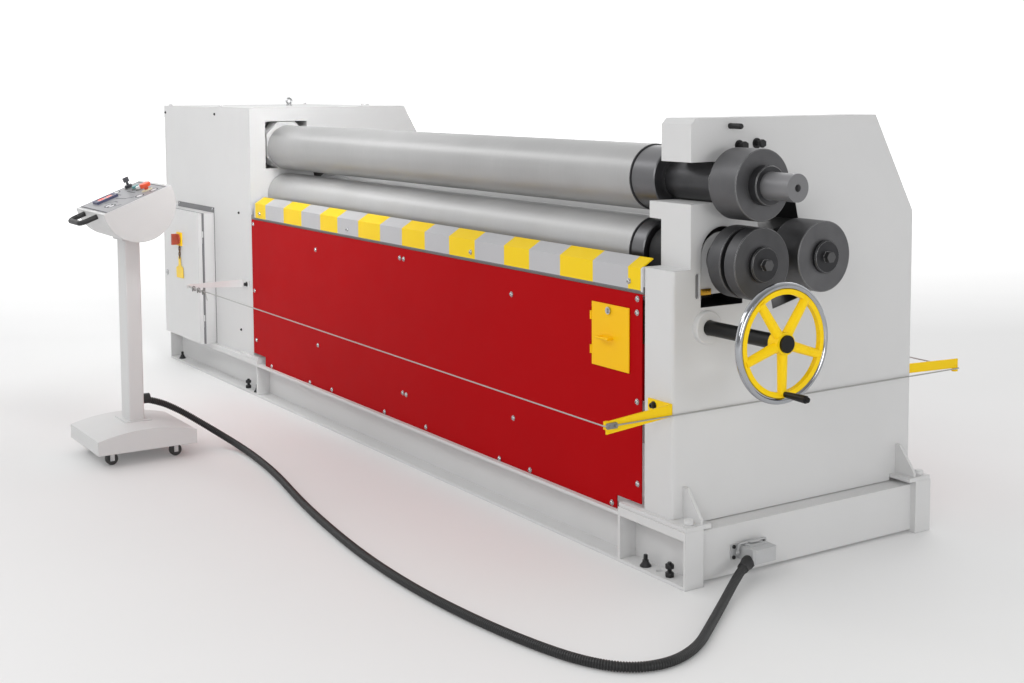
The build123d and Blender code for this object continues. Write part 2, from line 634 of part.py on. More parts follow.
# Worm jacks of the rear roll with their gear motor
rear_jack_top = rear_slot_low - 46.0
with BuildPart() as rear_jacks:
    for x0, x1, xs in ((x_right_in - 100.0, x_right_in, x_screw_right), (x_left_out - 100.0, x_left_out,
                       x_screw_left)):
        tilted_slab(x0, x1, -50.0, rear_shaft_t + 45.0, rear_jack_top - 150.0, rear_jack_top)
        tilted_post(xs, 0, rear_jack_top - 120.0, rear_jack_top + 1.0, screw_diameter / 2 + free_clearance,
                    Mode.SUBTRACT)
        rod(x0 + 12.0, x1 + 1.0 if x0 < 0 else x1 - 12.0, y_rear_shaft, z_rear_shaft,
            cross_shaft_diameter / 2 + running, Mode.SUBTRACT)
        if x0 > 0:
            rod(x0 - 1.0, x0 + 13.0, y_rear_shaft, z_rear_shaft, cross_shaft_diameter / 2 + running,
                Mode.SUBTRACT)
    rod(x_left_out - 420.0, x_left_out - 100.0, y_rear_shaft, z_rear_shaft, 42.0)
rear_jacks.part.label = "rear_jacks"
export_step(rear_jacks.part, "parts/rear_jacks.step")

# Cross shaft between the rear jacks
with BuildPart() as rear_cross_shaft:
    rod(x_left_out - 84.0, x_right_in - 16.0, y_rear_shaft, z_rear_shaft, cross_shaft_diameter / 2)
rear_cross_shaft.part.label = "rear_cross_shaft"
export_step(rear_cross_shaft.part, "parts/rear_cross_shaft.step")

# Rear roll
with BuildPart() as rear_roll:
    rod(x_block_left + 4.0, x_roll_left, y_rear_roll, z_rear_roll, journal_diameter / 2)
    rod(x_roll_left, x_roll_right, y_rear_roll, z_rear_roll, roll_radius)
    rod(x_roll_right, x_block_right - 4.0, y_rear_roll, z_rear_roll, neck_diameter / 2)
    rod(x_block_right - 4.0, x_section - 2.0, y_rear_roll, z_rear_roll, journal_diameter / 2)
    rod(x_section - 2.0, x_section_end, y_rear_roll, z_rear_roll, shaft_diameter / 2)
    round_edges = rear_roll.edges().filter_by(GeomType.CIRCLE)
    roll_rims = round_edges.filter_by(lambda e: abs(e.radius - roll_radius) < 0.01)
    chamfer(roll_rims, length=2.0)
rear_roll.part.label = "rear_roll"
export_step(rear_roll.part, "parts/rear_roll.step")

with BuildPart() as rear_section_roll:
    rod(x_section - 2.0, x_section_end, y_rear_roll, z_rear_roll, section_roll_diameter / 2)
    chamfer(rear_section_roll.edges().filter_by(GeomType.CIRCLE), length=2.0)
    rod(x_section - 3.0, x_section_end + 1.0, y_rear_roll, z_rear_roll, shaft_diameter / 2 + fit_clearance,
        Mode.SUBTRACT)
rear_section_roll.part.label = "rear_section_roll"
export_step(rear_section_roll.part, "parts/rear_section_roll.step")

with BuildPart() as rear_cap:
    rod(x_section_end, x_section_end + 13.0, y_rear_roll, z_rear_roll, 46.0)
    chamfer(rear_cap.edges().filter_by(GeomType.CIRCLE).sort_by(Axis.X)[-1], length=3.0)
    with BuildSketch(Plane.YZ.offset(x_section_end + 13.0)):
        with Locations((y_rear_roll, z_rear_roll)):
            RegularPolygon(14.0, 6, major_radius=False)
    extrude(amount=15.0)
rear_cap.part.label = "rear_cap"
export_step(rear_cap.part, "parts/rear_cap.step")

# Cross shaft of the hand adjustment with the black sleeve and hub cap at the wheel
with BuildPart() as cross_shaft:
    rod(x_block_left - 3.0, x_wheel - 26.0, y_wheel, wheel_height, cross_shaft_diameter / 2)
    rod(x_right_out + 1.0, x_wheel - 22.0, y_wheel, wheel_height, cross_shaft_diameter / 2 + 3.0)
    rod(x_wheel - 22.0, x_wheel + 14.0, y_wheel, wheel_height, 14.0)
    rod(x_wheel + 14.0, x_wheel + 21.0, y_wheel, wheel_height, 23.0)
cross_shaft.part.label = "cross_shaft"
export_step(cross_shaft.part, "parts/cross_shaft.step")

# Handwheel: hub, five spokes and inner ring in one casting, with the stud of the crank grip
wheel_radius = wheel_diameter / 2
ring_radius = wheel_radius - 18.0
grip_radius = ring_radius - 9.5
spoke_root_radius = 14.0
spoke_tip_radius = 12.0
stud_radius = 5.0
grip_root_radius = 7.5
grip_end_radius = 10.5
with BuildPart() as handwheel:
    rod(x_wheel - 7.0, x_wheel + 7.0, y_wheel, wheel_height, ring_radius - fit_clearance)
    rod(x_wheel - 8.0, x_wheel + 8.0, y_wheel, wheel_height, ring_radius - 14.0, Mode.SUBTRACT)
    for index in range(5):
        turn = 180.0 + 72.0 * index
        reach = (ring_radius + 18.0) / 2
        y = y_wheel - reach * math.sin(math.radians(turn))
        z = wheel_height + reach * math.cos(math.radians(turn))
        with Locations(Location((x_wheel, y, z), (turn, 0, 0))):
            Cone(spoke_root_radius, spoke_tip_radius, ring_radius - 30.0)
    rod(x_wheel - 22.0, x_wheel + 14.0, y_wheel, wheel_height, 30.0)
    rod(x_wheel - 23.0, x_wheel + 15.0, y_wheel, wheel_height, 14.0 + fit_clearance, Mode.SUBTRACT)
    rod(x_wheel, x_wheel + 92.0, y_wheel, wheel_height - grip_radius, stud_radius)
    rod(x_wheel + 7.0, x_wheel + 12.0, y_wheel, wheel_height - grip_radius, 9.0)
    rod(x_wheel + 92.0, x_wheel + 95.0, y_wheel, wheel_height - grip_radius, 7.0)
handwheel.part.label = "handwheel"
export_step(handwheel.part, "parts/handwheel.step")

with BuildPart() as handwheel_rim:
    with Locations(Location((x_wheel, y_wheel, wheel_height), (0, 90, 0))):
        Torus(wheel_radius - 9.5, 9.5)
    rod(x_wheel - 20.0, x_wheel + 20.0, y_wheel, wheel_height, ring_radius, Mode.SUBTRACT)
handwheel_rim.part.label = "handwheel_rim"
export_step(handwheel_rim.part, "parts/handwheel_rim.step")

# Crank grip turning on its stud
with BuildPart() as crank_grip:
    with BuildSketch(Plane((0, y_wheel, wheel_height - grip_radius), x_dir=(1, 0, 0), z_dir=(0, -1, 0))):
        with BuildLine():
            Polyline((x_wheel + 12.5, stud_radius + free_clearance), (x_wheel + 12.5, grip_root_radius),
                     (x_wheel + 18.0, grip_root_radius + 0.5))
            Spline((x_wheel + 18.0, grip_root_radius + 0.5), (x_wheel + 55.0, grip_end_radius - 1.0),
                   (x_wheel + 87.0, grip_end_radius))
            Polyline((x_wheel + 87.0, grip_end_radius), (x_wheel + 91.5, grip_end_radius - 2.5),
                     (x_wheel + 91.5, stud_radius + free_clearance), (x_wheel + 12.5,
                     stud_radius + free_clearance))
        make_face()
    revolve(axis=Axis((0, y_wheel, wheel_height - grip_radius), (1, 0, 0)))
crank_grip.part.label = "crank_grip"
export_step(crank_grip.part, "parts/crank_grip.step")

# Electrical cabinet let into the housing front, standing on the base pad
wall = 2.0
rim = 25.0
y_body = y_door + door_depth + door_gap
y_cabinet_back = y_door + cabinet_depth
y_cabinet_hinge = y_body - door_gap / 2
x_cabinet_hinge = x_cabinet_end + 4.0
hinge_heights = (z_cabinet + 80.0, z_cabinet_top - 140.0)
with BuildPart() as cabinet_body:
    slab(x_cabinet, x_cabinet_end, y_body, y_cabinet_back, z_cabinet, z_cabinet_top)
    slab(x_cabinet + wall, x_cabinet_end - wall, y_body + wall, y_cabinet_back - wall, z_cabinet + wall,
         z_cabinet_top - wall, Mode.SUBTRACT)
    slab(x_cabinet + rim, x_cabinet_end - rim, y_body - 1.0, y_body + wall + 1.0, z_cabinet + rim,
         z_cabinet_top - rim, Mode.SUBTRACT)
    slab(x_cabinet - 40.0, x_cabinet_end + 40.0, y_front + sheet, y_front + sheet + wall, z_cabinet,
         z_cabinet_top + 50.0)
    slab(x_cabinet + wall, x_cabinet_end - wall, y_front, y_front + 20.0, z_cabinet + wall,
         z_cabinet_top - wall,
         Mode.SUBTRACT)
    for z in hinge_heights:
        post(x_cabinet_hinge, y_cabinet_hinge, z, z + 28.0, 4.0)
        slab(x_cabinet_end - 1.0, x_cabinet_hinge, y_body + 0.5, y_body + 3.0, z, z + 28.0)
        slab(x_cabinet_hinge - 2.0, x_cabinet_hinge + 2.0, y_cabinet_hinge, y_body + 3.0, z, z + 28.0)
        post(x_cabinet_hinge, y_cabinet_hinge, z + 20.0, z + 56.0, 1.8)
cabinet_body.part.label = "cabinet_body"
export_step(cabinet_body.part, "parts/cabinet_body.step")

# Cabinet door, folded sheet, hinged at its right edge
x_isolator = x_cabinet + 223.0
z_isolator = z_cabinet + 475.0
x_lock = x_cabinet + 42.0
z_lock = z_cabinet + 296.0
with BuildPart() as cabinet_door:
    slab(x_cabinet, x_cabinet_end, y_door, y_door + door_depth, z_cabinet + 1.0, z_cabinet_top)
    slab(x_cabinet + wall, x_cabinet_end - wall, y_door + wall, y_door + door_depth + 1.0,
         z_cabinet + 1.0 + wall,
         z_cabinet_top - wall, Mode.SUBTRACT)
    for z in hinge_heights:
        post(x_cabinet_hinge, y_cabinet_hinge, z + 28.5, z + 56.0, 4.0)
        slab(x_cabinet_end - 1.0, x_cabinet_hinge, y_body - door_gap - 2.5, y_body - door_gap, z + 28.5,
             z + 56.0)
        slab(x_cabinet_hinge - 2.0, x_cabinet_hinge + 2.0, y_body - door_gap - 2.5, y_cabinet_hinge,
             z + 28.5, z + 56.0)
        post(x_cabinet_hinge, y_cabinet_hinge, z + 28.0, z + 57.0, 1.8 + free_clearance, Mode.SUBTRACT)
    slab(x_isolator - 32.0, x_isolator + 32.0, y_door - 6.0, y_door, z_isolator - 32.0, z_isolator + 32.0)
    cross(x_isolator, y_door - 10.0, y_door + 10.0, z_isolator, 8.0 + free_clearance, Mode.SUBTRACT)
    cross(x_lock, y_door - 2.0, y_door + 10.0, z_lock, 9.0 + free_clearance, Mode.SUBTRACT)
cabinet_door.part.label = "cabinet_door"
export_step(cabinet_door.part, "parts/cabinet_door.step")

# Main isolator handle on the door
with BuildPart() as isolator_handle:
    cross(x_isolator, y_door - 14.0, y_door - 7.0, z_isolator, 24.0)
    cross(x_isolator, y_door - 7.0, y_door + 8.0, z_isolator, 8.0)
    slab(x_isolator - 9.0, x_isolator + 9.0, y_door - 42.0, y_door - 13.0, z_isolator - 26.0,
         z_isolator + 26.0)
    top_edges = isolator_handle.edges().filter_by(Axis.Z).group_by(Axis.Y)[0]
    chamfer(top_edges, length=4.0)
isolator_handle.part.label = "isolator_handle"
export_step(isolator_handle.part, "parts/isolator_handle.step")

# Cam lock of the cabinet door
with BuildPart() as door_lock:
    cross(x_lock, y_door - 5.0, y_door - 0.5, z_lock, 13.0)
    cross(x_lock, y_door - 0.5, y_body + wall + 6.0, z_lock, 9.0)
    slab(x_lock - 6.0, x_lock + 6.0, y_body + wall + 3.0, y_body + wall + 6.0, z_lock - 27.0, z_lock + 6.0)
    cross(x_lock, y_door - 6.0, y_door - 2.0, z_lock, 4.0, Mode.SUBTRACT)
door_lock.part.label = "door_lock"
export_step(door_lock.part, "parts/door_lock.step")

# Trip-wire arms: flat bars bent round the frame corners, with round ends for the wire
wire_radius = wire_diameter / 2
arm = 5.0
x_arm_right = x_right_out
x_arm_left = x_left_out + 28.0
y_tip_front = y_front - wire_reach
y_tip_rear = y_back + wire_reach
turn_radius = 12.0
arm_height = 34.0
rear_arm_height = 29.0
arm_fall = 20.0
rear_arm_fall = 8.0
z_arm = wire_height - 17.0
z_rear_arm = wire_height - 5.0
with BuildPart() as wire_arm_right:
    slab(x_arm_right - 100.0, x_arm_right, y_front - arm, y_front, z_arm, z_arm + arm_height)
    slab(x_arm_right - 100.0, x_arm_right, y_back, y_back + arm, z_rear_arm, z_rear_arm + rear_arm_height)
    for y0, y1, z, height, fall in (
        (y_front, y_tip_front + turn_radius / 2, z_arm, arm_height, arm_fall),
        (y_back, y_tip_rear - turn_radius / 2, z_rear_arm, rear_arm_height, rear_arm_fall),
    ):
        with BuildSketch(Plane.YZ.offset(x_arm_right - arm)):
            with BuildLine():
                Polyline((y0, z), (y0, z + height), (y1, z + height - fall), (y1, z - fall), close=True)
            make_face()
        extrude(amount=arm)
    for y, side in ((y_tip_front, 1), (y_tip_rear, -1)):
        post(x_arm_right - 7.0, y + side * turn_radius, wire_height - 24.0, wire_height - 4.0,
             turn_radius - wire_radius - free_clearance)
wire_arm_right.part.label = "wire_arm_right"
export_step(wire_arm_right.part, "parts/wire_arm_right.step")

y_tip_left = y_front - wire_reach - 37.0
y_tip_left_rear = y_back + wire_reach + 37.0
with BuildPart() as wire_arm_left:
    slab(x_arm_left - arm, x_arm_left + 70.0, y_front - arm, y_front, wire_height - 13.0, wire_height + 23.0)
    slab(x_arm_left - arm, x_arm_left + 70.0, y_back, y_back + arm, wire_height - 13.0, wire_height + 23.0)
    for y0, y1 in ((y_front, y_tip_left), (y_back, y_tip_left_rear)):
        with BuildSketch(Plane.YZ.offset(x_arm_left - arm)):
            with BuildLine():
                Polyline((y0, wire_height - 13.0), (y0, wire_height + 23.0), (y1, wire_height + 19.0),
                         (y1, wire_height + 5.0), close=True)
            make_face()
        extrude(amount=arm)
wire_arm_left.part.label = "wire_arm_left"
export_step(wire_arm_left.part, "parts/wire_arm_left.step")

# Trip wire round the front, the right end and the rear
x_wire = x_arm_right - 7.0 + turn_radius
z_wire = wire_height - 14.0
z_wire_left = wire_height + 12.0
with BuildPart() as trip_wire:
    with BuildLine() as wire_path:
        FilletPolyline(
            (x_arm_left + free_clearance, y_tip_left + 8.0, z_wire_left), (x_wire, y_tip_front, z_wire),
            (x_wire, y_tip_rear, z_wire),
            (x_arm_left + free_clearance, y_tip_left_rear - 8.0, z_wire_left), radius=turn_radius,
        )
    with BuildSketch(Plane(origin=wire_path.line @ 0, z_dir=wire_path.line % 0)):
        Circle(wire_radius)
    sweep()
trip_wire.part.label = "trip_wire"
export_step(trip_wire.part, "parts/trip_wire.step")

# Control stand: arched base, column and round-bellied head
z_stand = caster_diameter + 6.0
stand_skirt = 50.0
arch_rise = 76.0
stand_wall = 4.0
x_base = stand_x + 27.0
x_stand0 = x_base - stand_width / 2
y_stand0 = stand_y - 10.0 - stand_length / 2
y_stand1 = stand_y - 10.0 + stand_length / 2
y_mid = (y_stand0 + y_stand1) / 2
with BuildPart() as stand_base:
    with BuildSketch(Plane.YZ.offset(x_stand0)):
        with BuildLine():
            Polyline((y_stand1, z_stand + stand_skirt), (y_stand1, z_stand), (y_stand0, z_stand),
                     (y_stand0, z_stand + stand_skirt))
            ThreePointArc((y_stand0, z_stand + stand_skirt), (y_mid, z_stand + arch_rise),
                          (y_stand1, z_stand + stand_skirt))
        make_face()
    extrude(amount=stand_width)
    y_inner0 = y_stand0 + stand_wall
    y_inner1 = y_stand1 - stand_wall
    z_inner = z_stand + stand_skirt - stand_wall
    with BuildSketch(Plane.YZ.offset(x_stand0 + stand_wall)):
        with BuildLine():
            Polyline((y_inner1, z_inner), (y_inner1, z_stand + 8.0), (y_inner0, z_stand + 8.0), (y_inner0,
                     z_inner))
            ThreePointArc((y_inner0, z_inner), (y_mid, z_stand + arch_rise - stand_wall), (y_inner1, z_inner))
        make_face()
    extrude(amount=stand_width - 2 * stand_wall, mode=Mode.SUBTRACT)
    slab(x_base - 85.0, x_base + 85.0, y_mid - 90.0, y_mid + 90.0, z_stand - 1.0, z_stand + 20.0,
         Mode.SUBTRACT)
    slab(stand_x - 65.0, stand_x + 65.0, stand_y - 48.0, stand_y + 48.0, z_stand + arch_rise - 5.0,
         z_stand + arch_rise + 2.0)
stand_base.part.label = "stand_base"
export_step(stand_base.part, "parts/stand_base.step")

z_column = z_stand + arch_rise + 2.0
with BuildPart() as stand_column:
    slab(stand_x - column_width / 2, stand_x + column_width / 2, stand_y - column_breadth / 2,
         stand_y + column_breadth / 2, z_column, column_height)
    fillet(stand_column.edges().filter_by(Axis.Z), radius=6.0)
    slab(stand_x - column_width / 2 + 4.0, stand_x + column_width / 2 - 4.0,
         stand_y - column_breadth / 2 + 4.0,
         stand_y + column_breadth / 2 - 4.0, z_column - 1.0, column_height + 1.0, Mode.SUBTRACT)
    cross(stand_x, stand_y + column_breadth / 2 - 8.0, stand_y + column_breadth / 2 + 4.0, 195.0, 14.0,
          Mode.SUBTRACT)
stand_column.part.label = "stand_column"
export_step(stand_column.part, "parts/stand_column.step")

head_sin = math.sin(math.radians(head_tilt))
head_cos = math.cos(math.radians(head_tilt))
head_half = head_chord / 2
side_wall = 22.0
y_head = stand_y - 16.0
z_head = column_height + 3.0 + head_half + side_wall * head_cos
x_head = stand_x - head_width / 2
head_plane = Plane((x_head, y_head, z_head), x_dir=(0, head_cos, head_sin), z_dir=(1, 0, 0))
head_inner = Plane((x_head + 3.0, y_head, z_head), x_dir=(0, head_cos, head_sin), z_dir=(1, 0, 0))
head_top = Plane((stand_x, y_head, z_head), x_dir=(1, 0, 0), z_dir=(0, -head_sin, head_cos))
with BuildPart() as stand_head:
    with BuildSketch(head_plane):
        with BuildLine():
            Polyline((-head_half, -side_wall), (-head_half, 0), (head_half, 0), (head_half, -side_wall))
            ThreePointArc((head_half, -side_wall), (0, -side_wall - head_half), (-head_half, -side_wall))
        make_face()
    extrude(amount=head_width)
    slab(stand_x - 55.0, stand_x + 55.0, stand_y - 40.0, stand_y + 40.0, column_height, column_height + 22.0)
    with BuildSketch(head_inner):
        with BuildLine():
            Polyline((3.0 - head_half, -side_wall), (3.0 - head_half, -5.0), (head_half - 3.0, -5.0),
                     (head_half - 3.0, -side_wall))
            ThreePointArc((head_half - 3.0, -side_wall), (0, 3.0 - side_wall - head_half),
                          (3.0 - head_half, -side_wall))
        make_face()
    extrude(amount=head_width - 6.0, mode=Mode.SUBTRACT)
    with BuildSketch(head_top.offset(-2.0)):
        Rectangle(head_width - 22.0, head_chord - 26.0)
    extrude(amount=5.0, mode=Mode.SUBTRACT)
    with BuildSketch(head_top.offset(-6.0)):
        Rectangle(head_width - 40.0, head_chord - 44.0)
    extrude(amount=8.0, mode=Mode.SUBTRACT)
stand_head.part.label = "stand_head"
export_step(stand_head.part, "parts/stand_head.step")

# Control plate in the head, bored for the push buttons and the key switch
key_place = (-106.0, 64.0)
start_place = (-34.0, 68.0)
stop_place = (4.0, 70.0)
emergency_place = (76.0, 72.0)
display_place = (-78.0, -42.0)
stem = 8.0
plate_top = head_top.offset(1.0)
with BuildPart() as control_plate:
    with BuildSketch(head_top.offset(-2.0)):
        Rectangle(head_width - 23.0, head_chord - 27.0)
        with Locations(key_place, start_place, stop_place, emergency_place):
            Circle(stem + free_clearance, mode=Mode.SUBTRACT)
    extrude(amount=3.0)
control_plate.part.label = "control_plate"
export_step(control_plate.part, "parts/control_plate.step")

with BuildPart() as display_unit:
    with BuildSketch(plate_top):
        with Locations(display_place):
            bezel = Rectangle(64.0, 84.0)
        fillet(bezel.vertices(), radius=4.0)
    extrude(amount=9.0)
    with BuildSketch(plate_top.offset(7.0)):
        with Locations(display_place):
            Rectangle(46.0, 62.0)
    extrude(amount=4.0, mode=Mode.SUBTRACT)
display_unit.part.label = "display_unit"
export_step(display_unit.part, "parts/display_unit.step")

# Push buttons: cap on a stem through the plate
with BuildPart() as emergency_stop:
    with BuildSketch(plate_top.offset(-12.0)):
        with Locations(emergency_place):
            Circle(stem)
    extrude(amount=26.0)
    with BuildSketch(plate_top.offset(14.0)):
        with Locations(emergency_place):
            Circle(20.0)
    extrude(amount=14.0)
    fillet(emergency_stop.edges().filter_by(GeomType.CIRCLE).group_by(Axis.Z)[-1], radius=3.0)
emergency_stop.part.label = "emergency_stop"
export_step(emergency_stop.part, "parts/emergency_stop.step")

with BuildPart() as start_button:
    with BuildSketch(plate_top.offset(-12.0)):
        with Locations(start_place):
            Circle(stem)
    extrude(amount=18.0)
    with BuildSketch(plate_top.offset(6.0)):
        with Locations(start_place):
            Circle(13.0)
    extrude(amount=7.0)
start_button.part.label = "start_button"
export_step(start_button.part, "parts/start_button.step")

with BuildPart() as stop_button:
    with BuildSketch(plate_top.offset(-12.0)):
        with Locations(stop_place):
            Circle(stem)
    extrude(amount=18.0)
    with BuildSketch(plate_top.offset(6.0)):
        with Locations(stop_place):
            Circle(13.0)
    extrude(amount=7.0)
stop_button.part.label = "stop_button"
export_step(stop_button.part, "parts/stop_button.step")

with BuildPart() as key_switch:
    with BuildSketch(plate_top.offset(-12.0)):
        with Locations(key_place):
            Circle(stem)
    extrude(amount=13.0)
    with BuildSketch(plate_top.offset(0.5)):
        with Locations(key_place):
            Circle(14.0)
    extrude(amount=13.0)
    with BuildSketch(plate_top.offset(13.5)):
        with Locations(key_place):
            Rectangle(3.0, 9.0)
    extrude(amount=12.0)
    with BuildSketch(plate_top.offset(25.5)):
        with Locations(key_place):
            Rectangle(3.0, 22.0)
    extrude(amount=18.0)
key_switch.part.label = "key_switch"
export_step(key_switch.part, "parts/key_switch.step")

# Bail handle on the operator's end of the head
grip_span = 150.0
grip_reach = 62.0
handle_plane = Plane((stand_x, y_head - head_half * head_cos + 14.0 * head_sin,
                      z_head - head_half * head_sin - 14.0 * head_cos),
                     x_dir=(1, 0, 0), z_dir=(0, head_sin, -head_cos))
with BuildPart() as stand_handle:
    with BuildLine(handle_plane) as bail:
        FilletPolyline((-grip_span / 2, 0), (-grip_span / 2, grip_reach), (grip_span / 2, grip_reach),
                       (grip_span / 2, 0), radius=26.0)
    with BuildSketch(Plane(origin=bail.line @ 0, z_dir=bail.line % 0)):
        Circle(9.5)
    sweep()
stand_handle.part.label = "stand_handle"
export_step(stand_handle.part, "parts/stand_handle.step")

# Casters: four forks under the stand, each with a wheel turning on its axle pin
caster_x = 115.0
caster_y = 119.0
wheel_half = 9.0
cheek = 3.0
caster_radius = caster_diameter / 2
tread_radius = caster_radius - 0.2
caster_places = [(x_base + a * caster_x, y_mid + b * caster_y) for a in (-1, 1) for b in (-1, 1)]
with BuildPart() as caster_forks:
    for x, y in caster_places:
        slab(x - 24.0, x + 24.0, y - 24.0, y + 24.0, z_stand - cheek, z_stand)
        for x0 in (x - wheel_half - 1.0 - cheek, x + wheel_half + 1.0):
            slab(x0, x0 + cheek, y - 8.0, y + 8.0, caster_radius - 7.0, z_stand - cheek)
        rod(x - wheel_half - 1.0, x + wheel_half + 1.0, y, caster_radius, 4.0)
caster_forks.part.label = "caster_forks"
export_step(caster_forks.part, "parts/caster_forks.step")

with BuildPart() as caster_wheel_a:
    x, y = caster_places[0]
    rod(x - wheel_half, x + wheel_half, y, caster_radius, tread_radius)
    rod(x - wheel_half - 1.0, x + wheel_half + 1.0, y, caster_radius, 4.0 + free_clearance, Mode.SUBTRACT)
caster_wheel_a.part.label = "caster_wheel_a"
export_step(caster_wheel_a.part, "parts/caster_wheel_a.step")

with BuildPart() as caster_wheel_b:
    x, y = caster_places[1]
    rod(x - wheel_half, x + wheel_half, y, caster_radius, tread_radius)
    rod(x - wheel_half - 1.0, x + wheel_half + 1.0, y, caster_radius, 4.0 + free_clearance, Mode.SUBTRACT)
caster_wheel_b.part.label = "caster_wheel_b"
export_step(caster_wheel_b.part, "parts/caster_wheel_b.step")

with BuildPart() as caster_wheel_c:
    x, y = caster_places[2]
    rod(x - wheel_half, x + wheel_half, y, caster_radius, tread_radius)
    rod(x - wheel_half - 1.0, x + wheel_half + 1.0, y, caster_radius, 4.0 + free_clearance, Mode.SUBTRACT)
caster_wheel_c.part.label = "caster_wheel_c"
export_step(caster_wheel_c.part, "parts/caster_wheel_c.step")

with BuildPart() as caster_wheel_d:
    x, y = caster_places[3]
    rod(x - wheel_half, x + wheel_half, y, caster_radius, tread_radius)
    rod(x - wheel_half - 1.0, x + wheel_half + 1.0, y, caster_radius, 4.0 + free_clearance, Mode.SUBTRACT)
caster_wheel_d.part.label = "caster_wheel_d"
export_step(caster_wheel_d.part, "parts/caster_wheel_d.step")

# Plug connector on the end beam with its locking lever
x_beam = x_end - 20.0
y_plug = -243.0
z_plug = 71.0
plug_flange_length = 126.0
plug_flange_height = 42.0
plug_flange_thickness = 5.0
plug_body_length = 84.0
plug_body_height = 34.0
plug_body_depth = 26.0
hood_length = 86.0
hood_height = 40.0
hood_depth = 50.0
hood_chamfer = 6.0
plug_ear_inset = 9.0
plug_ear_rise = 15.0
plug_hole_diameter = 7.0
lever_length = 60.0
lever_width = 36.0
lever_thickness = 4.0
x_hood = x_beam + plug_body_depth
with BuildPart() as connector_base:
    slab(x_beam, x_beam + plug_flange_thickness, y_plug - plug_flange_length / 2,
         y_plug + plug_flange_length / 2,
         z_plug - plug_flange_height / 2, z_plug + plug_flange_height / 2)
    slab(x_beam + plug_flange_thickness, x_hood, y_plug - plug_body_length / 2, y_plug + plug_body_length / 2,
         z_plug - plug_body_height / 2, z_plug + plug_body_height / 2)
    for side in (-1, 1):
        y_ear = y_plug + side * (plug_flange_length / 2 - plug_ear_inset)
        for z_ear in (z_plug - plug_ear_rise, z_plug + plug_ear_rise):
            rod(x_beam - 1.0, x_beam + plug_flange_thickness + 1.0, y_ear, z_ear, plug_hole_diameter / 2,
                Mode.SUBTRACT)
connector_base.part.label = "connector_base"
export_step(connector_base.part, "parts/connector_base.step")

conduit_points = [
    (x_beam + 50.0, y_plug - 35.0, 57.0), (x_beam + 72.0, y_plug - 87.0, 44.0), (x_beam + 107.0,
    y_plug - 145.0, 30.0),
    (2160, -478, 16), (2256, -605, 12.5), (2345, -722, 12.5), (2383, -835, 12.5), (2355, -935, 12.5),
    (2262, -1000, 12.5), (2110, -1042, 12.5), (1890, -1076, 12.5), (1620, -1094, 12.5), (1320, -1086, 12.5),
    (1000, -1052, 12.5), (690, -1006, 12.5), (370, -944, 12.5), (110, -912, 12.5), (-70, -906, 18),
    (stand_x + 101.0, -945, 50), (stand_x + 41.0, -1005, 95), (stand_x + 11.0, -1070, 140),
    (stand_x, -1140, 178), (stand_x, stand_y + column_breadth / 2 + 6.0, 195.0),
]
with BuildPart() as connector_hood:
    slab(x_hood, x_hood + hood_depth, y_plug - hood_length / 2, y_plug + hood_length / 2,
         z_plug - hood_height / 2,
         z_plug + hood_height / 2)
    chamfer(connector_hood.edges().filter_by(Axis.Z).group_by(Axis.X)[-1], length=hood_chamfer)
    slab(x_hood - lever_width / 2, x_hood + lever_width / 2, y_plug - lever_length / 2,
         y_plug + lever_length / 2,
         z_plug + hood_height / 2, z_plug + hood_height / 2 + lever_thickness)
    start = Vector(*conduit_points[0])
    toward = (Vector(*conduit_points[1]) - start).normalized()
    with BuildSketch(Plane(origin=start - toward * 10.0, z_dir=toward)):
        Circle(conduit_diameter / 2 + 5.0)
    extrude(amount=30.0)
    with BuildSketch(Plane(origin=start - toward * 2.0, z_dir=toward)):
        Circle(conduit_diameter / 2 + 0.3)
    extrude(amount=24.0, mode=Mode.SUBTRACT)
connector_hood.part.label = "connector_hood"
export_step(connector_hood.part, "parts/connector_hood.step")

# Gland at the stand's column
with BuildPart() as conduit_gland:
    y_gland = stand_y + column_breadth / 2
    cross(stand_x, y_gland, y_gland + 34.0, 195.0, 19.0)
    finish = Vector(*conduit_points[-1])
    back = (Vector(*conduit_points[-2]) - finish).normalized()
    with BuildSketch(Plane(origin=finish, z_dir=back)):
        Circle(conduit_diameter / 2 + 0.3)
    extrude(amount=60.0, mode=Mode.SUBTRACT)
conduit_gland.part.label = "conduit_gland"
export_step(conduit_gland.part, "parts/conduit_gland.step")

# Corrugated conduit from the plug to the stand
radii = []
for before, here, after in zip(conduit_points, conduit_points[1:], conduit_points[2:]):
    into = Vector(*here) - Vector(*before)
    away = Vector(*after) - Vector(*here)
    half_turn = math.radians(into.get_angle(away)) / 2
    radii.append(0.45 * min(into.length, away.length) / math.tan(half_turn))
print("conduit radii", [round(r) for r in radii])
with BuildPart() as conduit:
    with BuildLine(mode=Mode.PRIVATE) as conduit_path:
        FilletPolyline(*conduit_points, radius=radii)
    route = conduit_path.wire()
    crest = conduit_diameter / 2
    rib_form = ((0.05, crest - 1.6), (0.25, crest), (0.75, crest), (0.95, crest - 1.6))
    for index in range(conduit_ribs):
        for part_way, radius in rib_form:
            place = (index + part_way) / conduit_ribs
            with BuildSketch(Plane(origin=route @ place, x_dir=(0, 0, 1), z_dir=route % place)):
                Circle(radius)
    loft(ruled=True)
    for index in range(conduit_ribs + 1):
        place = min(0.9999, max(0.0001, index / conduit_ribs))
        with BuildSketch(Plane(origin=route @ place, x_dir=(0, 0, 1), z_dir=route % place)):
            Circle(conduit_bore / 2)
    loft(ruled=True, mode=Mode.SUBTRACT)
print("conduit length", route.length, "volume", conduit.part.volume)
conduit.part.label = "conduit"
export_step(conduit.part, "parts/conduit.step")
